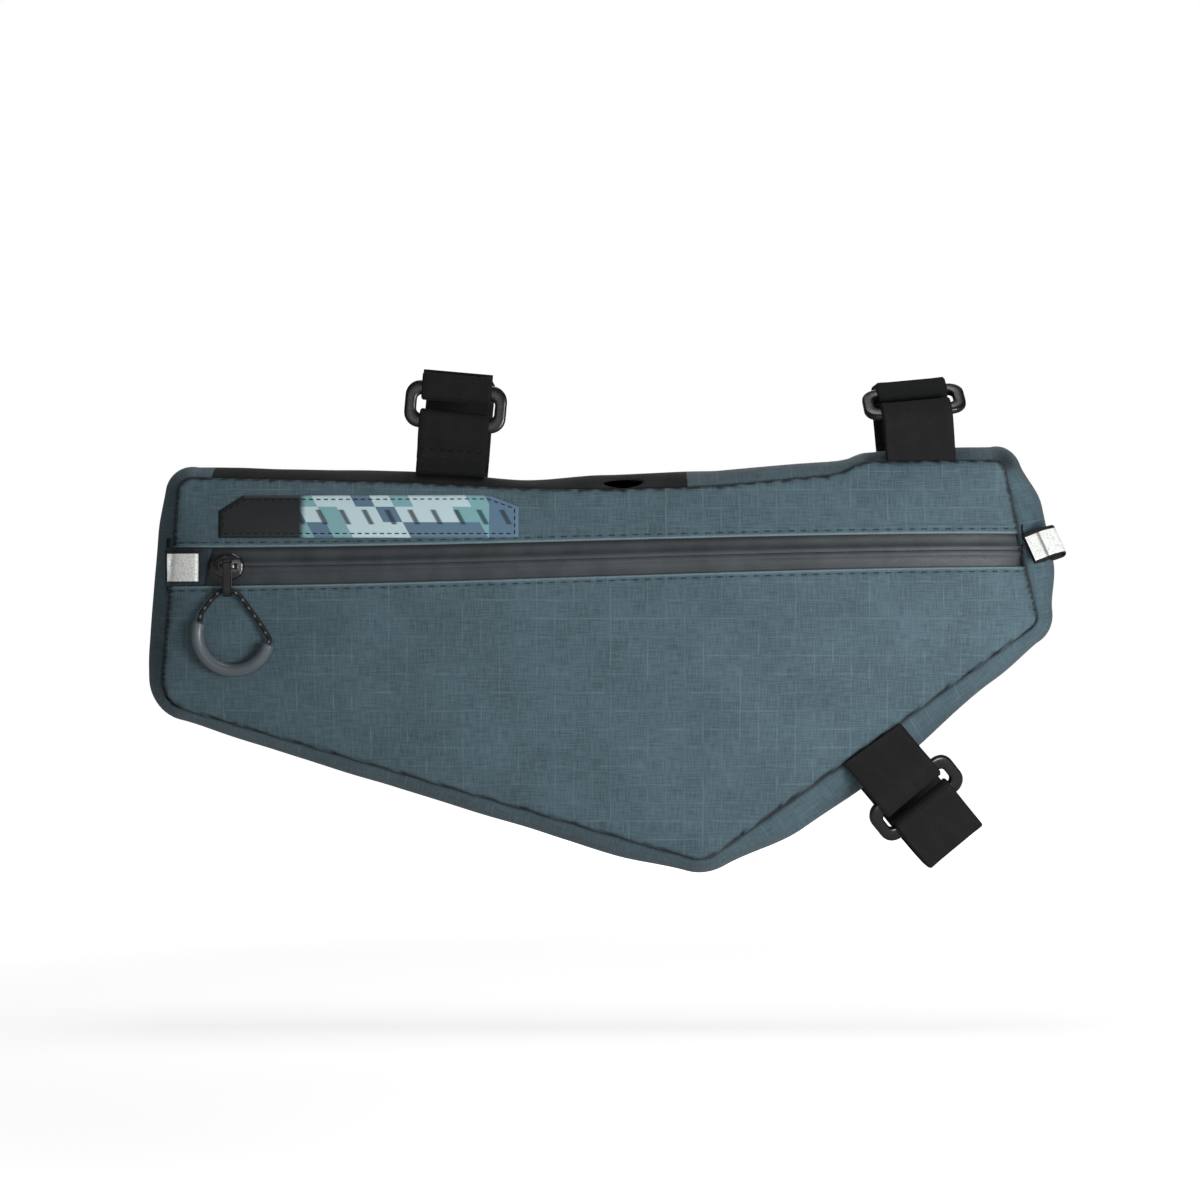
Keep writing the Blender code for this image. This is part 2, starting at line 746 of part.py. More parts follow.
def make_strap(strap):
    stand = Stand(strap)
    tilt = math.radians(strap.ring_tilt)
    up_axis = Vector((-math.sin(tilt), math.cos(tilt)))
    front_axis = Vector((math.cos(tilt), math.sin(tilt)))
    centre = Vector((SEAM_Y - strap.ring_inset * TUBE_DIAMETER, strap.ring_height * TUBE_DIAMETER))
    bar = (RING_SLOT_HEIGHT + RING_CROSS_BAR) / 2
    upper = centre + up_axis * bar
    lower = centre - up_axis * bar
    wrap = WRAP_CLEARANCE + WEBBING / 2
    out = RING_THICKNESS / 2 + wrap
    past = RING_CROSS_BAR / 2 + wrap
    turn = 0.98 * out
    top = strap.top * TUBE_DIAMETER

    make_ring(strap.name + "_ring", stand, centre, up_axis)

    def corner(point, radius):
        return (point.x, point.y, radius)

    back = STRAP_BACK_INSET - SEAM_Y
    foot = back + WEBBING + FOOT_LENGTH
    under = upper - up_axis * past
    tail = upper - front_axis * out + up_axis * (RING_CROSS_BAR + WEBBING)
    ribbon(
        strap.name + "_strap",
        stand,
        [
            stand.seated(foot, 0),
            stand.seated((foot + back) / 2, 0),
            stand.seated(back, FOOT_BEND),
            (back, top, STRAP_BACK_CORNER),
            (SEAM_Y - strap.nose_inset * TUBE_DIAMETER, top, strap.nose_radius * TUBE_DIAMETER),
            corner(under + front_axis * out, turn),
            corner(under - front_axis * out, turn),
            corner(tail, 0),
        ],
        BLACK_WEBBING,
    )

    over = lower + up_axis * past
    if strap.anchor == "foot":
        inner = centre.x - ANCHOR_BEHIND_RING
        start = inner - FOOT_LENGTH
        ply = WEBBING + GAP
        corners = [
            stand.seated(start, 0),
            stand.seated((start + inner) / 2, 0),
            stand.seated(inner, FOOT_BEND),
            (inner, ANCHOR_STRAIGHT, ANCHOR_BEND),
            corner(over - front_axis * out, turn),
            corner(over + front_axis * out, turn),
            corner(lower + front_axis * out - up_axis * RING_CROSS_BAR, ANCHOR_BEND),
            (inner + ply, ANCHOR_STRAIGHT - WEBBING, ANCHOR_BEND - WEBBING),
            (inner + ply, FRONT_PLY_END, 0),
        ]
    else:
        seam = SEAM_Y + GAP + WEBBING / 2
        corners = [
            (seam, -stand.bulge, 0),
            (seam, WEBBING - stand.bulge, ANCHOR_BEND - WEBBING),
            corner(lower + front_axis * out - up_axis * past, ANCHOR_BEND),
            corner(over + front_axis * out, turn),
            corner(over - front_axis * out, turn),
            (seam - ANCHOR_BEHIND_RING - GAP, SEAM_PLY_HEIGHT, 0),
        ]
    ribbon(strap.name + "_anchor", stand, corners, BLACK_WEBBING)


def make_label():
    left = LEFT_X + LABEL_ALONG * SEAM_LENGTH
    bottom = TOP_Z - LABEL_BOTTOM * SEAM_HEIGHT
    sections = []
    for before, after in zip(LABEL_EDGES, LABEL_EDGES[1:]):
        pieces = max(1, round((after.along - before.along) * LABEL_LENGTH / RUN_STEP))
        for k in range(pieces + (after is LABEL_EDGES[-1])):
            share = k / pieces
            along = before.along + (after.along - before.along) * share
            height = (before.top + (after.top - before.top) * share) * LABEL_HEIGHT
            x = left + along * LABEL_LENGTH
            sections.append(
                [on_front(x, bottom + height * part, GAP + LABEL) for part in (0, 0.5, 1)]
            )
    sheet("label_patch", sections, LABEL, LABEL_PRINT, towards_front)


def make_rear_tab():
    """The ribbon folded flat over the zip's rear end."""
    x = LEFT_X + REAR_TAB_ALONG * SEAM_LENGTH
    z = TOP_Z - REAR_TAB_DOWN * SEAM_HEIGHT
    low = 2 * GAP + TAB_RIBBON / 2
    high = low + TAB_RIBBON + REAR_TAB_OPENING
    corners = [
        (Vector((0, low)), 0),
        (Vector((REAR_TAB_LENGTH, low)), REAR_TAB_FOLD),
        (Vector((REAR_TAB_LENGTH, high)), REAR_TAB_FOLD),
        (Vector((0, high - TAB_RIBBON)), 0),
    ]
    half = TAB_WIDTH / 2
    sections = [
        [on_front(x + p.x, z - half, p.y), on_front(x + p.x, z + half, p.y)]
        for p, _ in rounded(corners)
    ]
    sheet("rear_tab", sections, TAB_RIBBON, REFLECTIVE, offset=0)


def make_front_tab():
    """The open ribbon loop that stands out at the zip's front end."""
    x = LEFT_X + FRONT_TAB_ALONG * SEAM_LENGTH
    z = TOP_Z - FRONT_TAB_DOWN * SEAM_HEIGHT
    rise = math.radians(FRONT_TAB_RISE_DEG)
    turn = math.radians(FRONT_TAB_TURN_DEG)
    along = Vector((math.cos(rise), 0, math.sin(rise)))
    upright = Vector((-math.sin(rise), 0, math.cos(rise)))
    across = upright * math.cos(turn) + Vector((0, 1, 0)) * math.sin(turn)
    front = across.cross(along).normalized()
    base = Vector((x, -(SEAM_Y + FRONT_TAB_LIFT), z))
    corners = [
        (Vector((c.out * FRONT_TAB_LENGTH, c.deep * FRONT_TAB_DEPTH)), c.radius * FRONT_TAB_DEPTH)
        for c in FRONT_TAB_CORNERS
    ]
    half = TAB_WIDTH / 2
    sections = [
        [
            base + along * p.x + front * p.y - across * half,
            base + along * p.x + front * p.y + across * half,
        ]
        for p, _ in rounded(corners)
    ]
    sheet("front_tab", sections, TAB_RIBBON, REFLECTIVE, offset=0)


SLIDER_X = LEFT_X + SLIDER_ALONG * SEAM_LENGTH


def slider_base():
    """The middle of the slider's underside, just over the tape."""
    return on_front(SLIDER_X, zip_height(SLIDER_X), SLIDER_SEAT - CLOTH - GAP)


def box(name, size, centre, finish, bevel):
    bm = bmesh.new()
    bmesh.ops.create_cube(bm, size=1)
    bmesh.ops.scale(bm, vec=size, verts=bm.verts)
    bmesh.ops.bevel(
        bm, geom=bm.edges[:], offset=bevel, segments=2, profile=0.5, affect="EDGES", material=-1
    )
    mesh = bpy.data.meshes.new(name)
    bm.to_mesh(mesh)
    bm.free()
    obj = add_object(name, mesh, finish)
    obj.location = centre
    return obj


def make_slider():
    base = slider_base()
    body = box(
        "zip_slider",
        (SLIDER_LENGTH, SLIDER_THICKNESS, SLIDER_WIDTH),
        base - Vector((0, SLIDER_THICKNESS / 2, 0)),
        SLIDER_METAL,
        SLIDER_EDGE,
    )
    height = BRIDGE_GAP + BRIDGE_BAR
    arch = box(
        "bridge_arch",
        (BRIDGE_LENGTH, height + BRIDGE_BAR, BRIDGE_WIDTH),
        base - Vector((0, SLIDER_THICKNESS + (height - BRIDGE_BAR) / 2, 0)),
        SLIDER_METAL,
        BRIDGE_EDGE,
    )
    opening = box(
        "bridge_cutter",
        (BRIDGE_LENGTH - 2 * BRIDGE_BAR, BRIDGE_GAP, 2 * BRIDGE_WIDTH),
        base - Vector((0, SLIDER_THICKNESS + BRIDGE_GAP / 2, 0)),
        SLIDER_METAL,
        BRIDGE_EDGE,
    )
    join(body, arch)
    cut(body, opening)


def bridge_bar():
    """The middle of the bridge's cross bar."""
    return slider_base() - Vector((0, SLIDER_THICKNESS + BRIDGE_GAP + BRIDGE_BAR / 2, 0))


def cord_pass():
    """Where the cord passes through the band's lower end."""
    x = SLIDER_X
    z = zip_height(SLIDER_X) - PULL_BAND_LENGTH
    return on_front(x, z, CORD_PASS.lift * MM)


def make_pull_loop():
    """The folded band round the bridge's bar and the cord: a long closed loop seen from its side."""
    top = bridge_bar()
    low = cord_pass()
    along = (low - top).normalized()
    out = Vector((0, -along.z, along.y)).normalized()
    top_radius = BRIDGE_WIDTH / 2 + 2 * GAP + PULL_BAND / 2
    low_radius = CORD_DIAMETER / 2 + 2.5 * GAP + PULL_BAND / 2
    top_depth = BRIDGE_BAR / 2 + 2 * GAP + PULL_BAND / 2
    corners = [
        (Vector((-top_radius, top_depth)), 0.9 * top_depth),
        (Vector((-top_radius, -top_depth)), 0.9 * top_depth),
        (Vector(((low - top).length + low_radius, -low_radius)), 0.95 * low_radius),
        (Vector(((low - top).length + low_radius, low_radius)), 0.95 * low_radius),
    ]
    half = Vector((PULL_BAND_WIDTH / 2, 0, 0))
    sections = []
    for p, _ in rounded(corners, closed=True):
        middle = top + along * p.x + out * p.y
        sections.append([middle - half, middle + half])
    sheet("pull_loop", sections, PULL_BAND, SLIDER_METAL, offset=0, closed=True)


def smooth_route(points, step):
    """Points about a step apart on a smooth curve through the route's points."""
    ends = [2 * points[0] - points[1], *points, 2 * points[-1] - points[-2]]
    found = []
    for a, b, c, d in zip(ends, ends[1:], ends[2:], ends[3:]):
        pieces = max(1, round((c - b).length / step))
        for k in range(pieces):
            t = k / pieces
            found.append(
                0.5
                * (
                    2 * b
                    + (c - a) * t
                    + (2 * a - 5 * b + 4 * c - d) * t**2
                    + (3 * b - 3 * c + d - a) * t**3
                )
            )
    return found + [points[-1]]


def tube(name, points, diameter, resolution, finish):
    curve = bpy.data.curves.new(name, "CURVE")
    curve.dimensions = "3D"
    curve.bevel_depth = diameter / 2
    curve.bevel_resolution = resolution
    curve.use_fill_caps = True
    spline = curve.splines.new("POLY")
    spline.points.add(len(points) - 1)
    for target, point in zip(spline.points, points):
        target.co = (*point, 1)
    curve.materials.append(finish)
    obj = bpy.data.objects.new(name, curve)
    bpy.context.scene.collection.objects.link(obj)
    return obj


def grip_point(angle, lift):
    """A point of the grip's centre line at an angle of its arc."""
    turn = math.radians(angle)
    start = cord_pass()
    x = start.x + GRIP_CENTRE_ALONG + GRIP_ARC_RADIUS * math.cos(turn)
    z = start.z - GRIP_CENTRE_DOWN + GRIP_ARC_RADIUS * math.sin(turn)
    return on_front(x, z, lift)


def make_pull():
    lift = GAP + GRIP_DIAMETER / 2
    steps = 2 * math.ceil((GRIP_TO_DEG - GRIP_FROM_DEG) / ARC_STEP_DEG)
    turns = [GRIP_FROM_DEG + (GRIP_TO_DEG - GRIP_FROM_DEG) * k / steps for k in range(steps + 1)]
    points = [grip_point(turn, lift) for turn in turns]
    tube("pull_grip", points, GRIP_DIAMETER, 3, RUBBER)

    start = cord_pass()
    route = [
        on_front(start.x + p.along * MM, start.z + p.up * MM, p.lift * MM) for p in CORD_ROUTE
    ]
    rear = points[0] + (points[0] - points[1]).normalized() * GAP
    front = points[-1] + (points[-1] - points[-2]).normalized() * GAP
    rear_ahead = rear + (points[0] - points[1]).normalized() * CORD_DIAMETER
    front_ahead = front + (points[-1] - points[-2]).normalized() * CORD_DIAMETER
    path = smooth_route([rear, rear_ahead, *route, front_ahead, front], 1.5 * CORD_DIAMETER)
    tube("pull_cord", path, CORD_DIAMETER, 2, CORD_NYLON)


def main():
    make_panels()
    make_zip()
    make_gusset()
    for strap in STRAPS:
        make_strap(strap)
    make_label()
    make_rear_tab()
    make_front_tab()
    make_slider()
    make_pull_loop()
    make_pull()


main()
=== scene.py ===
"""Looks of a bicycle frame bag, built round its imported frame.

Metres, +Z up. +X runs towards the bicycle's front, the side with the zip faces -Y, and the origin lies on the
top tube's axis, midway between the two strap loops on top.
"""

from __future__ import annotations

import logging
import math
from bisect import bisect_left
from collections.abc import Callable, Sequence
from dataclasses import dataclass, field
from enum import Enum

import bmesh
import bpy
from mathutils import Matrix, Vector, noise
from mathutils.bvhtree import BVHTree
from mathutils.kdtree import KDTree

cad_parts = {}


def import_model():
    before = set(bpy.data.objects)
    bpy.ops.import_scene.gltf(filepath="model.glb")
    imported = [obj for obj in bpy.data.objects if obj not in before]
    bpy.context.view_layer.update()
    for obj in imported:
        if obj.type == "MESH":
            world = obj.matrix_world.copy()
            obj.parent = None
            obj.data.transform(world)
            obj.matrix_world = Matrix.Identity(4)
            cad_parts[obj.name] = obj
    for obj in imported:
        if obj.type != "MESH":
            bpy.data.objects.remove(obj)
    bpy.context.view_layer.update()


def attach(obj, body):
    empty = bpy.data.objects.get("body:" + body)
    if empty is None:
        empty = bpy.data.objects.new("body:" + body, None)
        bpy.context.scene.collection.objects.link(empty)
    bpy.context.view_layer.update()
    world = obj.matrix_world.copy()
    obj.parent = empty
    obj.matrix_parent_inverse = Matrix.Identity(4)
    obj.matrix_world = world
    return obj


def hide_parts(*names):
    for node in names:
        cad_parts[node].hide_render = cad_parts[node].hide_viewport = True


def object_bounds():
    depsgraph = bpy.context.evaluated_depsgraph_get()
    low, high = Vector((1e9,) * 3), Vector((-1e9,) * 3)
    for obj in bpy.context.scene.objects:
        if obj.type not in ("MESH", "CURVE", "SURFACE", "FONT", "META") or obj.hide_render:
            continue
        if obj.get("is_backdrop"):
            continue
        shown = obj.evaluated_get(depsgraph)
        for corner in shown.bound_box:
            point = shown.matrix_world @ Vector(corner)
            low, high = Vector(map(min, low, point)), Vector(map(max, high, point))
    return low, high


LOG = logging.getLogger("frame_bag")
MM = 0.001

# Sizes that the solids have too
SEAM_LENGTH = 372 * MM
SEAM_HEIGHT = 164.6 * MM
SEAM_Y = 22.5 * MM
SEAM_INSET = 1.1 * MM
BAND_Y = 21.0 * MM
CLOTH = 1.2 * MM
LEFT_X = -221.35 * MM
TOP_Z = -24.4 * MM
WEBBING = 1.8 * MM
WEBBING_WIDTH = 29.4 * MM


# Node trees


def srgb(code: str) -> tuple[float, float, float, float]:
    """Turn a hex colour into linear light.

    Args:
        code: Six hex digits, as an sRGB colour.

    Returns:
        Red, green, blue and an alpha of 1.
    """
    values = [int(code[i : i + 2], 16) / 255 for i in (0, 2, 4)]
    red, green, blue = (
        value / 12.92 if value <= 0.04045 else ((value + 0.055) / 1.055) ** 2.4
        for value in values
    )
    return red, green, blue, 1.0


def add_node(
    tree: bpy.types.NodeTree, kind: str, links: dict | None = None, **settings: object
) -> bpy.types.Node:
    """Add a node with its settings and links.

    Args:
        tree: The node tree that gets it.
        kind: The node's class, without "ShaderNode".
        links: Input name or number to a value, or to the output socket that feeds it.
        **settings: Attributes of the node.

    Returns:
        The new node.
    """
    node = tree.nodes.new("ShaderNode" + kind)
    for name, value in settings.items():
        setattr(node, name, value)
    for key, value in (links or {}).items():
        if isinstance(value, bpy.types.NodeSocket):
            tree.links.new(value, node.inputs[key])
        else:
            node.inputs[key].default_value = value
    return node


class Mapping(Enum):
    """What a pattern follows."""

    OBJECT = "Object"
    WEAVE = "UV"


@dataclass(frozen=True)
class Finish:
    """One real material and how its surface was made.

    Patterns are drawn in metres: on Object coordinates, or on a piece's own UV map, which is in metres too.
    """

    name: str
    colour: str
    roughness: float
    metallic: float = 0.0
    ior: float = 1.5
    sheen: float = 0.0
    coat: float = 0.0
    mapping: Mapping = Mapping.WEAVE

    def build(self) -> bpy.types.Material:
        """Make the material with its nodes."""
        made = bpy.data.materials.new(self.name)
        made.use_nodes = True
        tree = made.node_tree
        shader = tree.nodes["Principled BSDF"]
        shader.inputs["Base Color"].default_value = srgb(self.colour)
        shader.inputs["Roughness"].default_value = self.roughness
        shader.inputs["Metallic"].default_value = self.metallic
        shader.inputs["IOR"].default_value = self.ior
        shader.inputs["Sheen Weight"].default_value = self.sheen
        shader.inputs["Sheen Roughness"].default_value = 0.5
        shader.inputs["Coat Weight"].default_value = self.coat
        shader.inputs["Coat Roughness"].default_value = 0.2
        place = add_node(tree, "TexCoord").outputs[self.mapping.value]
        self.pattern(tree, shader, place)
        return made

    def pattern(
        self, tree: bpy.types.NodeTree, shader: bpy.types.Node, place: bpy.types.NodeSocket
    ) -> None:
        """Link colour, roughness and bump; a subclass draws its own surface here.

        Args:
            tree: The material's node tree.
            shader: Its Principled node.
            place: The socket with the pattern's coordinates, in metres.
        """
        raise NotImplementedError

    def mix(
        self,
        tree: bpy.types.NodeTree,
        share: object,
        first: object,
        second: object,
        blend: str = "MIX",
    ) -> bpy.types.NodeSocket:
        """Mix two colours, each a socket or linear values, by a share."""
        mixed = add_node(
            tree, "Mix", {0: share, 6: first, 7: second}, data_type="RGBA", blend_type=blend
        )
        return mixed.outputs[2]

    def maths(
        self, tree: bpy.types.NodeTree, operation: str, *values: object
    ) -> bpy.types.NodeSocket:
        """One Math node on sockets or numbers."""
        return add_node(
            tree, "Math", dict(enumerate(values)), operation=operation
        ).outputs[0]

    def remap(
        self,
        tree: bpy.types.NodeTree,
        value: bpy.types.NodeSocket,
        low: float,
        high: float,
        to_low: float = 0.0,
        to_high: float = 1.0,
    ) -> bpy.types.NodeSocket:
        """Map a value smoothly from one range to another, clamped."""
        return add_node(
            tree,
            "MapRange",
            {"Value": value, 1: low, 2: high, 3: to_low, 4: to_high},
            interpolation_type="SMOOTHSTEP",
        ).outputs[0]

    def streaks(
        self, tree: bpy.types.NodeTree, place: bpy.types.NodeSocket, along: float, across: float
    ) -> bpy.types.NodeSocket:
        """Noise stretched to a length along and a width across, in metres."""
        scaled = add_node(
            tree, "Mapping", {"Vector": place, "Scale": (1 / along, 1 / across, 1 / along)}
        ).outputs[0]
        return add_node(
            tree, "TexNoise", {"Vector": scaled, "Scale": 1.0, "Detail": 2.0}
        ).outputs[0]

    def line(
        self,
        tree: bpy.types.NodeTree,
        value: bpy.types.NodeSocket,
        pitch: float,
        width: float,
    ) -> bpy.types.NodeSocket:
        """A soft line at every pitch of a coordinate: 1 on the line, 0 off it."""
        apart = self.maths(tree, "PINGPONG", value, pitch / 2)
        return self.remap(tree, apart, width / 2, 0.15 * width, 0.0, 1.0)

    def shaded(
        self,
        tree: bpy.types.NodeTree,
        shader: bpy.types.Node,
        colour: bpy.types.NodeSocket,
        painted_highlight: str = "8ba3ac",
    ) -> None:
        """Link a colour with painted shade where the fold attribute is above 0 (in seams, creases and under plies)
        and a painted highlight where it is below 0 (along the edges of hem folds).
        """
        # The fold attribute is not a depth: above 0 it is painted shade, below 0 it is painted highlight.
        depth = add_node(tree, "Attribute", attribute_name="fold").outputs["Fac"]
        # Painted shade: the colour goes towards near-black 07090b as the attribute rises to 1.
        dark = self.mix(tree, self.remap(tree, depth, 0.0, 1.0), colour, srgb("07090b"))
        # Painted highlight: the colour goes towards pale 8ba3ac as the attribute falls to -1.
        pale = self.remap(tree, depth, 0.0, -1.0)
        tree.links.new(self.mix(tree, pale, dark, srgb(painted_highlight)), shader.inputs["Base Color"])

    def bump(
        self,
        tree: bpy.types.NodeTree,
        shader: bpy.types.Node,
        height: bpy.types.NodeSocket,
        depth: float,
        strength: float = 1.0,
    ) -> None:
        """Feed a height of a depth in metres to the shader's normal."""
        made = add_node(
            tree, "Bump", {"Height": height, "Distance": depth, "Strength": strength}
        )
        tree.links.new(made.outputs[0], shader.inputs["Normal"])


@dataclass(frozen=True)
class RipstopCloth(Finish):
    """Woven polyester with a matt coating on its back: heathered threads, and a thicker thread every 7.7 mm."""

    thread: str = "6c838c"
    shade: str = "3c4d54"
    pitch: float = 7.73 * MM

    def pattern(
        self, tree: bpy.types.NodeTree, shader: bpy.types.Node, place: bpy.types.NodeSocket
    ) -> None:
        """Draw the heathered weave, the thicker threads, the painted shade and highlight of seams and folds, and the
        weave's bump.
        """
        axes = add_node(tree, "SeparateXYZ", {0: place}).outputs
        warp = self.streaks(tree, place, 0.5 * MM, 6.5 * MM)
        weft = self.streaks(tree, place, 8.0 * MM, 0.5 * MM)
        threads = self.maths(tree, "ADD", warp, weft)
        blotch = add_node(
            tree, "TexNoise", {"Vector": place, "Scale": 40.0, "Detail": 3.0}
        ).outputs[0]
        tone = self.maths(
            tree, "MULTIPLY_ADD", blotch, 0.3, self.maths(tree, "MULTIPLY", threads, 0.5)
        )
        base = self.mix(
            tree, self.remap(tree, tone, 0.42, 0.88), srgb(self.shade), srgb(self.colour)
        )
        upright = self.maths(
            tree, "MULTIPLY", self.line(tree, axes[0], self.pitch, 0.8 * MM),
            self.remap(tree, self.streaks(tree, place, 3 * MM, 16 * MM), 0.4, 0.66),
        )
        level = self.maths(
            tree, "MULTIPLY", self.line(tree, axes[1], self.pitch, 0.8 * MM),
            self.remap(tree, self.streaks(tree, place, 18 * MM, 3 * MM), 0.4, 0.66),
        )
        grid = self.maths(tree, "MAXIMUM", upright, level)
        lined = self.mix(tree, self.maths(tree, "MULTIPLY", grid, 0.36), base, srgb(self.thread))
        # Painted shade and painted highlight from the fold attribute.
        self.shaded(tree, shader, lined)
        fine = self.maths(tree, "MULTIPLY_ADD", grid, 0.6, threads)
        self.bump(tree, shader, fine, 0.16 * MM, 0.75)


@dataclass(frozen=True)
class WovenBand(Finish):
    """Woven polyamide webbing: tight ribs across, and finer wales along."""

    light: str = "2e2e31"
    rib: float = 1.3 * MM
    wale: float = 1.1 * MM

    def pattern(
        self, tree: bpy.types.NodeTree, shader: bpy.types.Node, place: bpy.types.NodeSocket
    ) -> None:
        """Draw the ribs and a slight unevenness of the black."""
        axes = add_node(tree, "SeparateXYZ", {0: place}).outputs
        uneven = self.streaks(tree, place, 14 * MM, 6 * MM)
        share = self.remap(tree, uneven, 0.35, 0.7)
        # Painted shade from the fold attribute, where the piece has one.
        self.shaded(tree, shader, self.mix(tree, share, srgb(self.colour), srgb(self.light)))
        ribs = self.maths(
            tree, "SINE", self.maths(tree, "MULTIPLY", axes[0], 2 * math.pi / self.rib)
        )
        wales = self.maths(
            tree, "SINE", self.maths(tree, "MULTIPLY", axes[1], 2 * math.pi / self.wale)
        )
        height = self.maths(
            tree, "MULTIPLY_ADD", ribs, 0.5, self.maths(tree, "MULTIPLY", wales, 0.35)
        )
        self.bump(tree, shader, height, 0.1 * MM, 0.7)


@dataclass(frozen=True)
class Grained(Finish):
    """Moulded, cast or coated: a fine grain with slight differences in gloss."""

    other: str = "202225"
    grain: float = 1.6 * MM
    depth: float = 0.03 * MM
    spread: float = 0.12

    def pattern(
        self, tree: bpy.types.NodeTree, shader: bpy.types.Node, place: bpy.types.NodeSocket
    ) -> None:
        """Draw the grain, the change of tone and the change of gloss."""
        fine = add_node(
            tree, "TexNoise", {"Vector": place, "Scale": 1 / self.grain, "Detail": 4.0}
        ).outputs[0]
        broad = add_node(
            tree, "TexNoise", {"Vector": place, "Scale": 0.06 / self.grain, "Detail": 2.0}
        ).outputs[0]
        share = self.remap(tree, broad, 0.35, 0.65)
        toned = self.mix(tree, share, srgb(self.colour), srgb(self.other))
        # Painted shade and painted highlight from the fold attribute, where the piece has one.
        self.shaded(tree, shader, toned)
        gloss = self.remap(
            tree, fine, 0.3, 0.7, self.roughness - self.spread / 2, self.roughness + self.spread / 2
        )
        tree.links.new(gloss, shader.inputs["Roughness"])
        self.bump(tree, shader, fine, self.depth, 0.6)


@dataclass(frozen=True)
class ReflectiveRibbon(Finish):
    """Black ribbon with a stripe of glass-bead film, printed in a fine lattice."""

    edge: str = "0b0b0d"
    stripe: tuple[float, float] = (-6.5 * MM, 5.2 * MM)

    def pattern(
        self, tree: bpy.types.NodeTree, shader: bpy.types.Node, place: bpy.types.NodeSocket
    ) -> None:
        """Draw the pale stripe, its lattice and the black selvedges."""
        axes = add_node(tree, "SeparateXYZ", {0: place}).outputs
        low, high = self.stripe
        stripe = self.maths(
            tree,
            "MULTIPLY",
            self.remap(tree, axes[1], low, low + 0.15 * MM),
            self.remap(tree, axes[1], high, high - 0.15 * MM),
        )
        cells = add_node(
            tree, "TexVoronoi", {"Vector": place, "Scale": 1 / (1.1 * MM)}, feature="DISTANCE_TO_EDGE"
        ).outputs[0]
        film = self.mix(tree, self.remap(tree, cells, 0.0, 0.12), srgb("c9ccca"), srgb(self.colour))
        # Painted shade from the fold attribute, where the piece has one.
        self.shaded(tree, shader, self.mix(tree, stripe, srgb(self.edge), film))
        tree.links.new(
            self.remap(tree, stripe, 0.0, 1.0, 0.8, self.roughness), shader.inputs["Roughness"]
        )
        self.bump(tree, shader, cells, 0.04 * MM, 0.4)


@dataclass(frozen=True)
class FleckedCord(Finish):
    """Braided polyester cord: strands that cross, and a pale tracer thread every few millimetres."""

    tracer: str = "707577"
    repeat: float = 8.4 * MM
    girth: float = 2 * math.pi * 1.0 * MM

    def pattern(
        self, tree: bpy.types.NodeTree, shader: bpy.types.Node, place: bpy.types.NodeSocket
    ) -> None:
        """Draw the crossing strands and the tracer's flecks."""
        axes = add_node(tree, "SeparateXYZ", {0: place}).outputs
        along = self.maths(tree, "MULTIPLY", axes[0], 2 * math.pi / self.repeat)
        around = self.maths(tree, "MULTIPLY", axes[1], 2 * math.pi / self.girth)
        right = self.maths(tree, "SINE", self.maths(tree, "ADD", along, around))
        left = self.maths(tree, "SINE", self.maths(tree, "SUBTRACT", along, around))
        fleck = self.remap(tree, self.maths(tree, "MULTIPLY", right, left), 0.7, 0.9)
        tree.links.new(
            self.mix(tree, fleck, srgb(self.colour), srgb(self.tracer)), shader.inputs["Base Color"]
        )
        fine_along = self.maths(tree, "MULTIPLY", axes[0], 2 * math.pi / (0.12 * self.repeat))
        fine_around = self.maths(tree, "MULTIPLY", axes[1], 8 * math.pi / self.girth)
        strands = self.maths(
            tree,
            "MULTIPLY",
            self.maths(tree, "SINE", self.maths(tree, "ADD", fine_along, fine_around)),
            self.maths(tree, "SINE", self.maths(tree, "SUBTRACT", fine_along, fine_around)),
        )
        self.bump(tree, shader, strands, 0.12 * MM, 0.8)


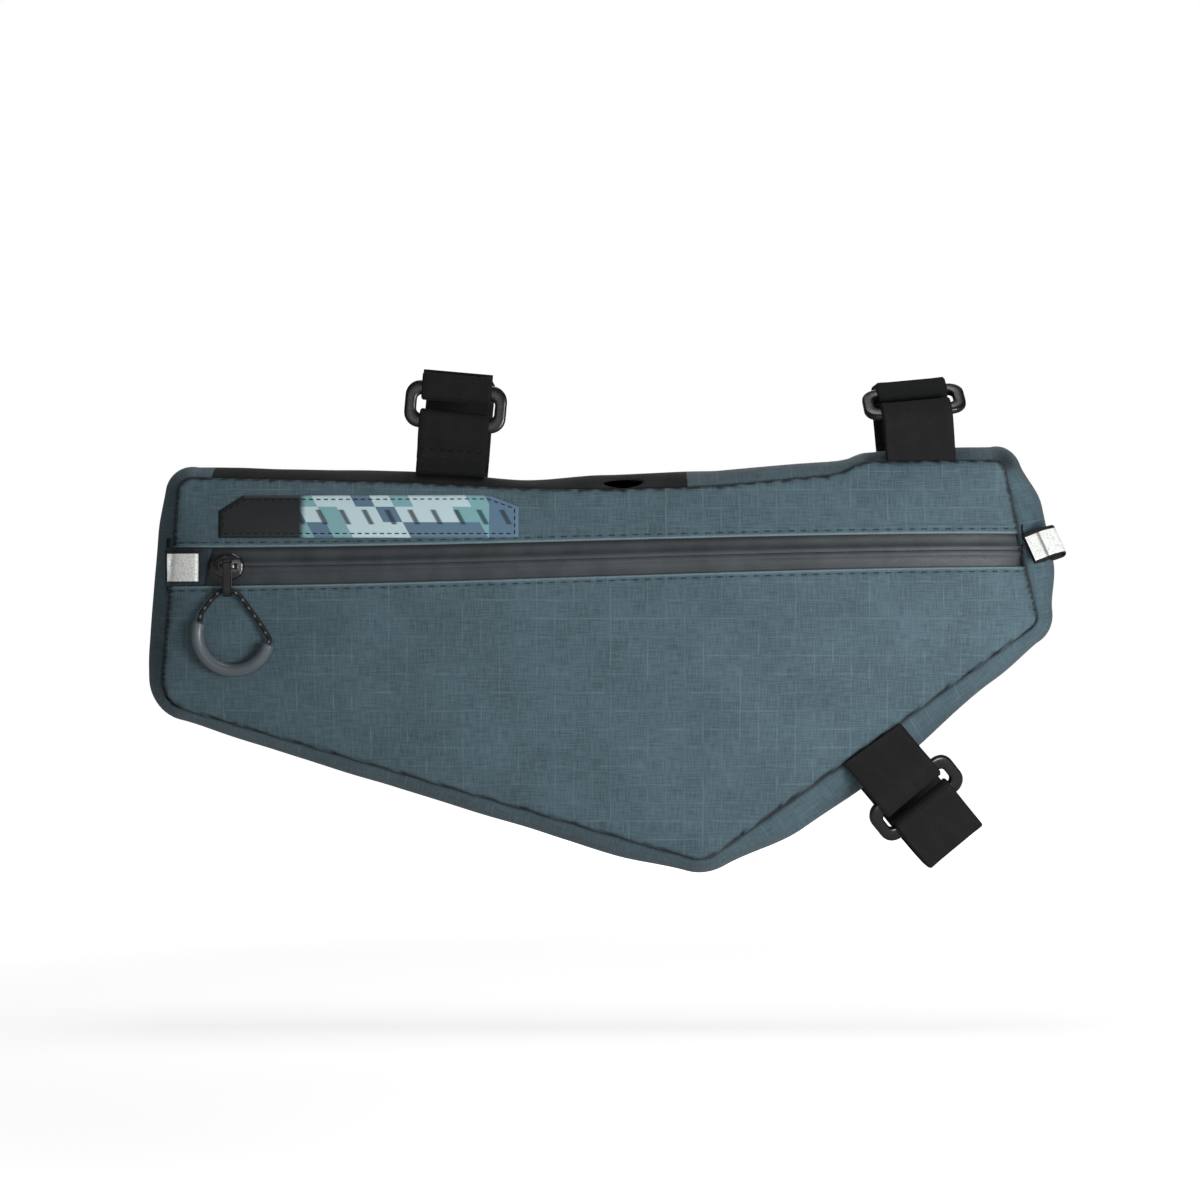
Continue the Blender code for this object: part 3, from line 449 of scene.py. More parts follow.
@dataclass(frozen=True)
class PrintedLabel(Finish):
    """Screen-printed vinyl: a black end, and slanted blocks in pale blue, teal and slate."""

    dark: str = "171c1f"
    pale: str = "bcd3d9"
    teal: str = "79a8ad"
    slate: str = "58748a"
    split: float = 0.29
    block: float = 13 * MM
    length: float = 125.6 * MM

    def pattern(
        self, tree: bpy.types.NodeTree, shader: bpy.types.Node, place: bpy.types.NodeSocket
    ) -> None:
        """Draw the blocks, the slanted bars and the black end."""
        axes = add_node(tree, "SeparateXYZ", {0: place}).outputs
        slant = self.maths(tree, "MULTIPLY_ADD", axes[1], 0.55, axes[0])
        column = self.maths(tree, "FLOOR", self.maths(tree, "DIVIDE", slant, 0.62 * self.block))
        row = self.maths(tree, "FLOOR", self.maths(tree, "DIVIDE", axes[1], 0.5 * self.block))
        cell = add_node(tree, "CombineXYZ", {0: column, 1: row}).outputs[0]
        chance = add_node(tree, "TexWhiteNoise", {"Vector": cell}, noise_dimensions="2D").outputs[0]
        some = self.mix(
            tree, self.maths(tree, "GREATER_THAN", chance, 0.36), srgb(self.pale), srgb(self.teal)
        )
        blocks = self.mix(
            tree, self.maths(tree, "GREATER_THAN", chance, 0.66), some, srgb(self.slate)
        )
        last = self.remap(tree, axes[0], 0.9 * self.length, 0.902 * self.length)
        blocks = self.mix(tree, last, blocks, srgb(self.slate))
        bars = self.line(tree, slant, 9.6 * MM, 3.4 * MM)
        inside = self.maths(
            tree,
            "MULTIPLY",
            self.remap(tree, axes[1], 5.4 * MM, 5.7 * MM),
            self.remap(tree, axes[1], 11.9 * MM, 11.6 * MM),
        )
        marks = self.maths(tree, "MULTIPLY", bars, inside)
        printed = self.mix(tree, self.maths(tree, "MULTIPLY", marks, 0.85), blocks, srgb("22323c"))
        start = self.split * self.length
        light = self.remap(tree, axes[0], start - 3 * MM, start + 0.4 * MM)
        tree.links.new(
            self.mix(tree, light, srgb(self.dark), printed), shader.inputs["Base Color"]
        )
        fine = add_node(
            tree, "TexNoise", {"Vector": place, "Scale": 900.0, "Detail": 3.0}
        ).outputs[0]
        self.bump(tree, shader, fine, 0.03 * MM, 0.5)


RIPSTOP = RipstopCloth("polyester_ripstop_woven", "546a74", 0.75, ior=1.35, sheen=0.06)
DARK_CLOTH = RipstopCloth(
    "polyester_plain_woven", "2f3d45", 0.75, ior=1.35, sheen=0.03, thread="37464f", shade="232e34"
)
STRIP_CLOTH = Grained(
    "chlorosulphonated_rubber_cloth", "242526", 0.8, ior=1.25, mapping=Mapping.OBJECT, other="2c2d2e"
)
ZIP_COATING = Grained(
    "polyurethane_laminated_tape", "2d3337", 0.55, mapping=Mapping.OBJECT, other="363d41",
    grain=0.8 * MM, depth=0.02 * MM,
)
BLACK_WEBBING = WovenBand("polyamide_webbing_woven", "0d0d0f", 0.85, ior=1.38, light="121214")
RING_ACETAL = Grained(
    "acetal_moulded", "111215", 0.28, mapping=Mapping.OBJECT, other="101012", grain=0.9 * MM,
    depth=0.01 * MM,
)
GRIP_RUBBER = Grained(
    "thermoplastic_rubber_moulded", "51595d", 0.34, mapping=Mapping.OBJECT, other="5b6468"
)
SLIDER_ENAMEL = Grained(
    "zinc_die_cast_enamelled", "0b0b0d", 0.18, mapping=Mapping.OBJECT, coat=1.0, other="111114",
    grain=0.7 * MM, depth=0.01 * MM,
)
PULL_BAND = Grained(
    "polyurethane_band_moulded", "121315", 0.38, mapping=Mapping.OBJECT, other="1b1c1f"
)
CORD_BRAID = FleckedCord("polyester_cord_braided", "17181a", 0.8)
RIBBON = ReflectiveRibbon("reflective_ribbon_laminated", "f4f5f2", 0.38)
LABEL_PRINT = PrintedLabel("vinyl_screen_printed", "bcd3d9", 0.5)
THREAD = WovenBand("polyester_thread_twisted", "1c2a33", 0.75, light="2a3a43", rib=0.5 * MM)
BLACK_THREAD = WovenBand("polyester_thread_black", "050506", 0.7, ior=1.38, light="0a0a0b", rib=0.5 * MM)


# Meshes


def ease(share: float) -> float:
    """Go smoothly from 0 to 1 as the share does."""
    share = min(max(share, 0.0), 1.0)
    return (1 - math.cos(math.pi * share)) / 2


def rippled(place: Vector, size: float, seed: float = 0.0) -> float:
    """Noise between about -1 and 1 with features of a size in metres."""
    return noise.noise(Vector(place) / size + Vector((seed, 1.7 * seed, -seed)))


def surface(
    rows: Sequence[Sequence[Vector]],
    chart: Callable[[int, int], tuple[float, float]] | None = None,
    ring: bool = False,
    loop: bool = False,
    across: Sequence[float] = (),
    fold: Sequence[Sequence[float]] = (),
) -> bmesh.types.BMesh:
    """Lay a grid over rows of points, with a UV map in metres.

    Args:
        rows: Points across, for each place along.
        chart: UV of row i and point j; left out, it is the lengths along and across.
        ring: Whether the last row joins the first.
        loop: Whether each row's last point joins its first.
        across: The UV's second value of each point of a row, in place of the length across.
        fold: How much painted shade each point gets, up to 1; below 0 it gets a painted highlight instead.

    Returns:
        The mesh, which the caller frees.
    """
    if chart is None:
        middles = [sum(row, Vector()) / len(row) for row in rows]
        middles += [middles[0]] * ring
        along = [0.0]
        for before, after in zip(middles, middles[1:]):
            along.append(along[-1] + (after - before).length)
        marks = list(across) + list(across[:1]) * loop
        if not marks:
            first = list(rows[0]) + [rows[0][0]] * loop
            marks = [0.0]
            for before, after in zip(first, first[1:]):
                marks.append(marks[-1] + (after - before).length)
            marks = [mark - marks[-1] / 2 for mark in marks]

        def chart(i: int, j: int) -> tuple[float, float]:
            return along[i], marks[j]

    bm = bmesh.new()
    uv = bm.loops.layers.uv.new("UVMap")
    steps = (len(rows) - 1 + ring, len(rows[0]) - 1 + loop)
    bmesh.ops.create_grid(bm, x_segments=steps[0], y_segments=steps[1], size=0.5)
    bm.verts.index_update()
    places = []
    for vert in bm.verts:
        i = round((vert.co.x + 0.5) * steps[0])
        j = round((vert.co.y + 0.5) * steps[1])
        places.append((i, j))
        vert.co = rows[i % len(rows)][j % len(rows[0])]
    for face in bm.faces:
        for corner in face.loops:
            corner[uv].uv = chart(*places[corner.vert.index])
    # The fold layer holds painted shade and painted highlight for the materials.
    if fold:
        depth = bm.verts.layers.float.new("fold")
        for vert, (i, j) in zip(bm.verts, places):
            vert[depth] = fold[i % len(rows)][j % len(rows[0])]
    if ring or loop:
        bmesh.ops.remove_doubles(bm, verts=bm.verts, dist=1e-7)
    return bm


def face_outward(bm: bmesh.types.BMesh, way: Callable[[Vector], Vector]) -> None:
    """Turn a sheet's faces so that they look the given way.

    Args:
        bm: The open sheet.
        way: The direction wanted at a point.
    """
    bm.normal_update()
    facing = sum(
        face.normal.dot(way(face.calc_center_median())) * face.calc_area() for face in bm.faces
    )
    if facing < 0:
        bmesh.ops.reverse_faces(bm, faces=bm.faces)


def close_ends(bm: bmesh.types.BMesh) -> None:
    """Close a tube's two open ends and turn all its faces outward."""
    edges = [edge for edge in bm.edges if edge.is_boundary]
    if edges:
        bmesh.ops.holes_fill(bm, edges=edges, sides=0)
    bmesh.ops.recalc_face_normals(bm, faces=bm.faces)


def flat_profile(
    width: float, thickness: float, corner: float = 0.45, across: int = 10, swell: float = 0.0
) -> list[tuple[float, float]]:
    """The outline of a flat band's section, as (side, out) points.

    Args:
        width: Its width in metres.
        thickness: Its thickness in metres.
        corner: Rounding of the edges, as a share of the thickness.
        across: Steps across each face.
        swell: How much thicker the selvedges are than the middle, as a share.
    """
    radius = corner * thickness
    flat = width / 2 - radius
    top = []
    for k in range(across + 1):
        side = flat * (2 * k / across - 1)
        lump = swell * thickness * math.exp(-(((abs(side) - 0.93 * flat) / (0.05 * width)) ** 2))
        top.append((side, thickness / 2 + lump))
    round_right = [
        (flat + radius * math.sin(a), thickness / 2 - radius + radius * math.cos(a))
        for a in (math.pi / 6, math.pi / 3, math.pi / 2)
    ]
    right = top + round_right
    return right + [(-side, -out) for side, out in right]


def tube_sections(
    points: Sequence[Vector], radius: float, sides: int, up: Vector, taper: float = 0.0
) -> list[list[Vector]]:
    """Circles round a path, turned as little as they can be.

    Args:
        points: The centre line.
        radius: The tube's radius.
        sides: Points round it.
        up: A direction roughly across the path at its start.
        taper: Rounding of both ends, as a length in metres.
    """
    lengths = [0.0]
    for before, after in zip(points, points[1:]):
        lengths.append(lengths[-1] + (after - before).length)
    sections = []
    side = up
    for index, point in enumerate(points):
        ahead = points[min(index + 1, len(points) - 1)] - points[max(index - 1, 0)]
        ahead.normalize()
        side = (side - ahead * side.dot(ahead)).normalized()
        other = ahead.cross(side)
        here = radius
        if taper:
            near = min(lengths[index], lengths[-1] - lengths[index])
            part = min(near / taper, 1.0)
            here = radius * (1 - 0.45 * (1 - math.sqrt(1 - (1 - part) ** 2)))
        sections.append(
            [
                point
                + (side * math.cos(turn) + other * math.sin(turn)) * here
                for turn in (2 * math.pi * k / sides for k in range(sides))
            ]
        )
    return sections


def smooth_route(points: Sequence[Vector], step: float) -> list[Vector]:
    """Points about a step apart on a smooth curve through the given ones."""
    ends = [2 * points[0] - points[1], *points, 2 * points[-1] - points[-2]]
    found = []
    for a, b, c, d in zip(ends, ends[1:], ends[2:], ends[3:]):
        pieces = max(1, round((c - b).length / step))
        for k in range(pieces):
            t = k / pieces
            curve = 2 * b + (c - a) * t + (2 * a - 5 * b + 4 * c - d) * t**2
            found.append(0.5 * (curve + (3 * b - 3 * c + d - a) * t**3))
    return [*found, points[-1]]


def rounded(
    corners: Sequence[tuple[Vector, float]],
    closed: bool = False,
    step: float = 3 * MM,
    turn_step: float = 7.0,
) -> list[tuple[Vector, float]]:
    """Points along a path of corners, with arcs at the corners.

    Args:
        corners: Each corner's point and the radius of its arc.
        closed: Whether the last corner joins the first.
        step: The longest straight step in metres.
        turn_step: The largest turn of an arc's step in degrees.

    Returns:
        Each point and its place, counted in corners.
    """
    count = len(corners)
    trims = []
    for index, (point, radius) in enumerate(corners):
        before, after = corners[index - 1][0], corners[(index + 1) % count][0]
        trim = 0.0
        if radius > 0 and (closed or 0 < index < count - 1):
            turn = (point - before).angle(after - point)
            longest = 0.48 * min((point - before).length, (after - point).length)
            trim = min(radius * math.tan(turn / 2), longest)
        trims.append(trim if trim > 1e-7 else 0.0)
    found = []
    for index, (point, _) in enumerate(corners):
        before, after = corners[index - 1][0], corners[(index + 1) % count][0]
        trim = trims[index]
        if trim:
            back, ahead = (before - point).normalized(), (after - point).normalized()
            turn = math.pi - back.angle(ahead)
            steps = 2 * max(1, math.ceil(math.degrees(turn) / turn_step / 2))
            centre = point + (back + ahead).normalized() * math.hypot(
                trim / math.tan(turn / 2), trim
            )
            first, last = point + back * trim - centre, point + ahead * trim - centre
            for k in range(steps + 1):
                share = k / steps
                arm = first * math.sin((1 - share) * turn) + last * math.sin(share * turn)
                width = trim / (point - (before if share < 0.5 else after)).length
                found.append(
                    (centre + arm / math.sin(turn), index + (2 * share - 1) * width)
                )
        else:
            found.append((point.copy(), float(index)))
        if index == count - 1 and not closed:
            break
        run = after - point
        start, end = trim / run.length, 1 - trims[(index + 1) % count] / run.length
        pieces = max(1, math.ceil((end - start) * run.length / step))
        for k in range(1, pieces):
            share = start + (end - start) * k / pieces
            found.append((point + run * share, index + share))
    return found


# The bag's shape

# along is a share of SEAM_LENGTH, down a share of SEAM_HEIGHT; radius and bulge are in millimetres.
STATIONS: dict[str, tuple[float, float, float, float]] = {
    "strip_rear": (0.061, 0.003, 40, 3.3),
    "rear_top": (0.021, 0.000, 10, 2.8),
    "rear_upper": (0.016, 0.161, 60, 5.2),
    "rear_lower": (0.005, 0.449, 60, 4.6),
    "rear_bottom": (0.000, 0.589, 15, 3.0),
    "slope_rear": (0.161, 0.696, 90, 4.4),
    "slope_middle": (0.410, 0.861, 90, 5.4),
    "slope_front": (0.523, 0.936, 90, 6.2),
    "keel": (0.6185, 1.000, 14, 4.0),
    "rise_low": (0.714, 0.844, 90, 11.4),
    "rise_middle": (0.808, 0.694, 90, 12.2),
    "rise_high": (0.9345, 0.4885, 60, 7.3),
    "front_low": (1.000, 0.383, 7, 4.4),
    "front_bend": (0.983, 0.235, 30, 11.0),
    "front_upper": (0.9705, 0.094, 50, 10.4),
    "front_top": (0.958, -0.041, 9, 4.6),
    "crest_front": (0.9345, -0.042, 20, 4.2),
    "crest_strap": (0.8555, -0.041, 40, 3.8),
    "crest_rear": (0.796, -0.038, 12, 2.6),
    "crest_foot": (0.7685, -0.005, 20, 5.0),
    "shoulder": (0.632, 0.024, 60, 5.4),
    "strip_front": (0.599, 0.027, 60, 5.6),
    "top_middle": (0.511, 0.033, 60, 5.0),
    "top_dip": (0.410, 0.030, 60, 2.6),
    "top_strap": (0.2855, 0.015, 60, 3.5),
}
ORDER = {name: index for index, name in enumerate(STATIONS)}


def in_plane(along: float, down: float) -> Vector:
    """The point of the panel's plane at these shares, as (x, z)."""
    return Vector((LEFT_X + along * SEAM_LENGTH, TOP_Z - down * SEAM_HEIGHT))


@dataclass
class SeamRow:
    """One place of the seam: its point, the way out of the bag, the bulge and the place in STATIONS."""

    point: Vector
    out: Vector
    bulge: float
    place: float


class Side:
    """One side of the panel's outline, read by its share of length."""

    def __init__(self, points: Sequence[Vector]) -> None:
        self.points = list(points)
        self.lengths = [0.0]
        for before, after in zip(points, points[1:]):
            self.lengths.append(self.lengths[-1] + (after - before).length)

    def at(self, share: float) -> Vector:
        """The point at a share of the side's length."""
        wanted = min(max(share, 0.0), 1.0) * self.lengths[-1]
        index = min(max(bisect_left(self.lengths, wanted), 1), len(self.points) - 1)
        run = self.lengths[index] - self.lengths[index - 1]
        part = (wanted - self.lengths[index - 1]) / run
        return self.points[index - 1].lerp(self.points[index], part)


class BagShape:
    """The bag's outline, the surface of its panels and gusset, and the line of its zip."""

    crown_height = 8 * MM
    zip_rear_down = 0.237
    zip_front_down = 0.194
    zip_band = (16 * MM, 13.5 * MM)
    side_flatness = 2.6
    eye = Vector((-35.3 * MM, -77.3 * MM))

    def __init__(self) -> None:
        path = rounded(
            [(in_plane(along, down), radius * MM) for along, down, radius, _ in STATIONS.values()],
            closed=True,
            step=2.5 * MM,
            turn_step=6.0,
        )
        inside = in_plane(0.55, 0.4)
        self.rows = []
        for index, (point, place) in enumerate(path):
            along = path[(index + 1) % len(path)][0] - path[index - 1][0]
            out = Vector((-along.y, along.x)).normalized()
            if out.dot(point - inside) < 0:
                out = -out
            rise = self.bulge_at(place) + SEAM_INSET + self.farther(point, out)
            self.rows.append(SeamRow(point - out * SEAM_INSET, out, rise, place))
        self.top = Side([row.point for row in reversed(self.between("front_top", "rear_top"))])
        self.bottom = Side([row.point for row in self.between("rear_bottom", "front_low")])
        self.rear = Side([row.point for row in self.between("rear_top", "rear_bottom")])
        self.front = Side([row.point for row in reversed(self.between("front_low", "front_top"))])
        self.corners = (self.top.at(0), self.top.at(1), self.bottom.at(0), self.bottom.at(1))
        self.tree = KDTree(len(self.rows))
        self.travel = [0.0]
        for index, row in enumerate(self.rows):
            self.tree.insert((row.point.x, row.point.y, 0), index)
            before = self.rows[index - 1].point
            self.travel.append(self.travel[-1] + (row.point - before).length * (index > 0))
        self.tree.balance()
        self.skin: list[list[Vector]] = []

    @staticmethod
    def bulge_at(place: float) -> float:
        """How far the gusset stands out at a place in STATIONS."""
        stations = list(STATIONS.values())
        index = math.floor(place) % len(stations)
        here, after = stations[index][3], stations[(index + 1) % len(stations)][3]
        return (here + (after - here) * ease(place - math.floor(place))) * MM

    def farther(self, point: Vector, out: Vector) -> float:
        """What the crest needs beyond its bulge, as it is farther from the photo's camera than the seam."""
        return 0.017 * (point - self.eye).dot(out)

    def between(self, start: str, end: str) -> list[SeamRow]:
        """The seam's rows from one station to another, onwards round the seam."""
        low, high = ORDER[start] - 1e-6, ORDER[end] + 1e-6
        if high > low:
            return [row for row in self.rows if low <= row.place <= high]
        late = [row for row in self.rows if row.place >= low]
        return late + [row for row in self.rows if row.place <= high]

    def plane_point(self, u: float, v: float) -> Vector:
        """The panel's point at u from rear to front and v from top to bottom, as (x, z)."""
        across = self.top.at(u) * (1 - v) + self.bottom.at(u) * v
        downward = self.rear.at(v) * (1 - u) + self.front.at(v) * u
        a, b, c, d = self.corners
        inner = (a * (1 - u) + b * u) * (1 - v) + (c * (1 - u) + d * u) * v
        return across + downward - inner

    def crown(self, u: float, v: float) -> float:
        """How far the panel's outer face stands out of the seam's plane."""
        along = 1 - abs(2 * u - 1) ** 8
        down = 1 - abs(2 * v - 1) ** 2.4
        return self.crown_height * along * down

    def near_seam(self, flat: Vector) -> tuple[float, float]:
        """Distance to the seam from a point of the plane, and the length along the seam there."""
        _, index, distance = self.tree.find((flat.x, flat.y, 0))
        return distance, self.travel[index]

    def relief(self, flat: Vector, side: float) -> float:
        """What cloth under slight tension adds to the crown, in metres.

        Args:
            flat: The point of the plane.
            side: -1 on the front and 1 on the back, so that they differ.
        """
        distance, travel = self.near_seam(flat)
        spot = Vector((flat.x, flat.y, 0.3 * side))
        inner = ease(distance / (16 * MM))
        height = inner * (
            0.95 * MM * rippled(spot, 75 * MM, 2.0)
            + 0.34 * MM * rippled(spot, 27 * MM, 5.0)
            + 0.1 * MM * rippled(spot, 9 * MM, 7.0)
        )
        pucker = math.exp(-((distance / (5.5 * MM)) ** 2))
        gather = rippled(Vector((travel, 0, 3 * side)), 5.2 * MM) + 0.5 * rippled(
            Vector((travel, 9, 3 * side)), 2.3 * MM
        )
        height += 0.5 * MM * pucker * gather
        edge = 1 - min(distance / (2.4 * MM), 1.0)
        return height - 2.4 * MM * (1 - math.sqrt(max(1 - edge * edge, 0.0)))

    def skin_point(self, u: float, v: float, side: float = -1, lift: float = 0.0) -> Vector:
        """A point of a side panel's outer face: side -1 is the front and 1 the back."""
        flat = self.plane_point(u, v)
        out = SEAM_Y + self.crown(u, v) + self.relief(flat, side) + lift
        return Vector((flat.x, side * out, flat.y))

    def make_skin(self) -> None:
        """Keep a mesh of the whole front face, for pieces that lie on it."""
        rows = [[self.skin_point(i / 190, j / 80) for j in range(81)] for i in range(191)]
        bm = surface(rows)
        self.face = BVHTree.FromBMesh(bm)
        bm.free()

    def on_front(self, x: float, z: float, lift: float = 0.0) -> Vector:
        """The front face's point at x and z, lifted towards the viewer."""
        hit, *_ = self.face.ray_cast(Vector((x, -0.2, z)), Vector((0, 1, 0)))
        if hit is None:
            hit, *_ = self.face.find_nearest(Vector((x, -SEAM_Y, z)))
            return Vector((x, hit.y - lift, z))
        return hit - Vector((0, lift, 0))

    def front_normal(self, x: float, z: float, reach: float = 1.5 * MM) -> Vector:
        """The way out of the front face at x and z."""
        along = self.on_front(x + reach, z) - self.on_front(x - reach, z)
        upward = self.on_front(x, z + reach) - self.on_front(x, z - reach)
        return along.cross(upward).normalized()

    def zip_height(self, x: float) -> float:
        """The height of the zip's middle line."""
        share = (x - LEFT_X) / SEAM_LENGTH
        down = self.zip_rear_down + (self.zip_front_down - self.zip_rear_down) * ease(share)
        return TOP_Z - SEAM_HEIGHT * down

    def zip_half(self, x: float) -> float:
        """Half the width of the zip's open band."""
        share = (x - LEFT_X) / SEAM_LENGTH
        return (self.zip_band[0] + (self.zip_band[1] - self.zip_band[0]) * share) / 2

    def v_at_height(self, u: float, height: float) -> float:
        """Where column u of the panel is at a height."""
        low, high = 0.0, 1.0
        for _ in range(22):
            middle = (low + high) / 2
            if self.plane_point(u, middle).y > height:
                low = middle
            else:
                high = middle
        return (low + high) / 2

    def zip_v(self, u: float, offset: Callable[[float], float]) -> float:
        """The v of a line beside the zip's middle, whose offset(x) is how far above it lies."""
        v = self.v_at_height(u, self.zip_height(self.plane_point(u, 0.3).x))
        x = self.plane_point(u, v).x
        return self.v_at_height(u, self.zip_height(x) + offset(x))

    def gusset_rise(self, bulge: float, s: float) -> float:
        """How far the gusset stands out of the seam at s, from -1 at the front seam to 1 at the back."""
        return bulge * (1 - abs(s) ** self.side_flatness)

    def seam_at(self, share: float, start: str, end: str) -> tuple[Vector, Vector, float]:
        """The seam's point, the way out and the bulge a share of the way between two stations."""
        rows = self.between(start, end)
        point = Side([row.point for row in rows]).at(share)
        nearest = min(rows, key=lambda row: (row.point - point).length)
        span = ORDER[end] - ORDER[start]
        rise = self.bulge_at(ORDER[start] + share * span) + SEAM_INSET
        return point, nearest.out, rise


class Workshop:
    """Makes materials once each, and turns meshes into shown pieces."""

    def __init__(self) -> None:
        self.materials: dict[str, bpy.types.Material] = {}

    def material(self, finish: Finish) -> bpy.types.Material:
        """The finish's material, made at its first use."""
        if finish.name not in self.materials:
            self.materials[finish.name] = finish.build()
        return self.materials[finish.name]

    def piece(
        self,
        name: str,
        bm: bmesh.types.BMesh,
        finish: Finish,
        slot: str,
        nodes: Sequence[str] = (),
        wall: float = 0.0,
        behind: float = -1.0,
    ) -> bpy.types.Object:
        """Make one shown piece and free its bmesh.

        Args:
            name: The object's name.
            bm: Its mesh in the row frame.
            finish: Its finish.
            slot: The record's material slot; not used.
            nodes: CAD nodes that it stands for.
            wall: Cloth thickness to add, in metres.
            behind: The Solidify offset: -1 puts the wall behind the faces.

        Returns:
            The object, riding on the bag.
        """
        mesh = bpy.data.meshes.new(name)
        bm.to_mesh(mesh)
        bm.free()
        mesh.shade_smooth()
        mesh.set_sharp_from_angle(angle=math.radians(50))
        mesh.materials.append(self.material(finish))
        made = bpy.data.objects.new(name, mesh)
        bpy.context.scene.collection.objects.link(made)
        if wall:
            cloth = made.modifiers.new("cloth_thickness", "SOLIDIFY")
            cloth.thickness = wall
            cloth.offset = behind
        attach(made, "root")
        if nodes:
            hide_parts(*nodes)
        LOG.info("%s: %d faces", name, len(mesh.polygons))
        return made


def joined(parts: Sequence[bmesh.types.BMesh]) -> bmesh.types.BMesh:
    """Put several meshes into one and free them."""
    whole = bmesh.new()
    for part in parts:
        mesh = bpy.data.meshes.new("part")
        part.to_mesh(mesh)
        part.free()
        whole.from_mesh(mesh)
        bpy.data.meshes.remove(mesh)
    return whole


@dataclass
class StitchRow:
    """A row of sewing thread: short raised dashes along a line that lies on cloth."""

    pitch: float = 5.0 * MM
    dash: float = 3.2 * MM
    thread: float = 0.34 * MM
    rise: float = 0.1 * MM

    def build(
        self, line: Sequence[Vector], normal: Callable[[Vector], Vector]
    ) -> bmesh.types.BMesh:
        """Lay the stitches.

        Args:
            line: Points of the row on the cloth's face.
            normal: The way out of the cloth at a point.

        Returns:
            All stitches in one mesh.
        """
        side = Side([Vector(point) for point in line])
        total = side.lengths[-1]
        count = max(1, round(total / self.pitch))
        parts = []
        for k in range(count):
            middle = (k + 0.5) / count
            reach = self.dash / total / 2
            points = []
            for step in range(7):
                t = step / 3 - 1
                point = side.at(middle + reach * t)
                out = normal(point)
                points.append(point + out * (self.rise - 1.5 * self.thread * abs(t) ** 3))
            rings = tube_sections(points, self.thread, 6, normal(points[0]), 0.7 * self.thread)
            bm = surface(rings, loop=True)
            close_ends(bm)
            parts.append(bm)
        return joined(parts)


# The bag's pieces


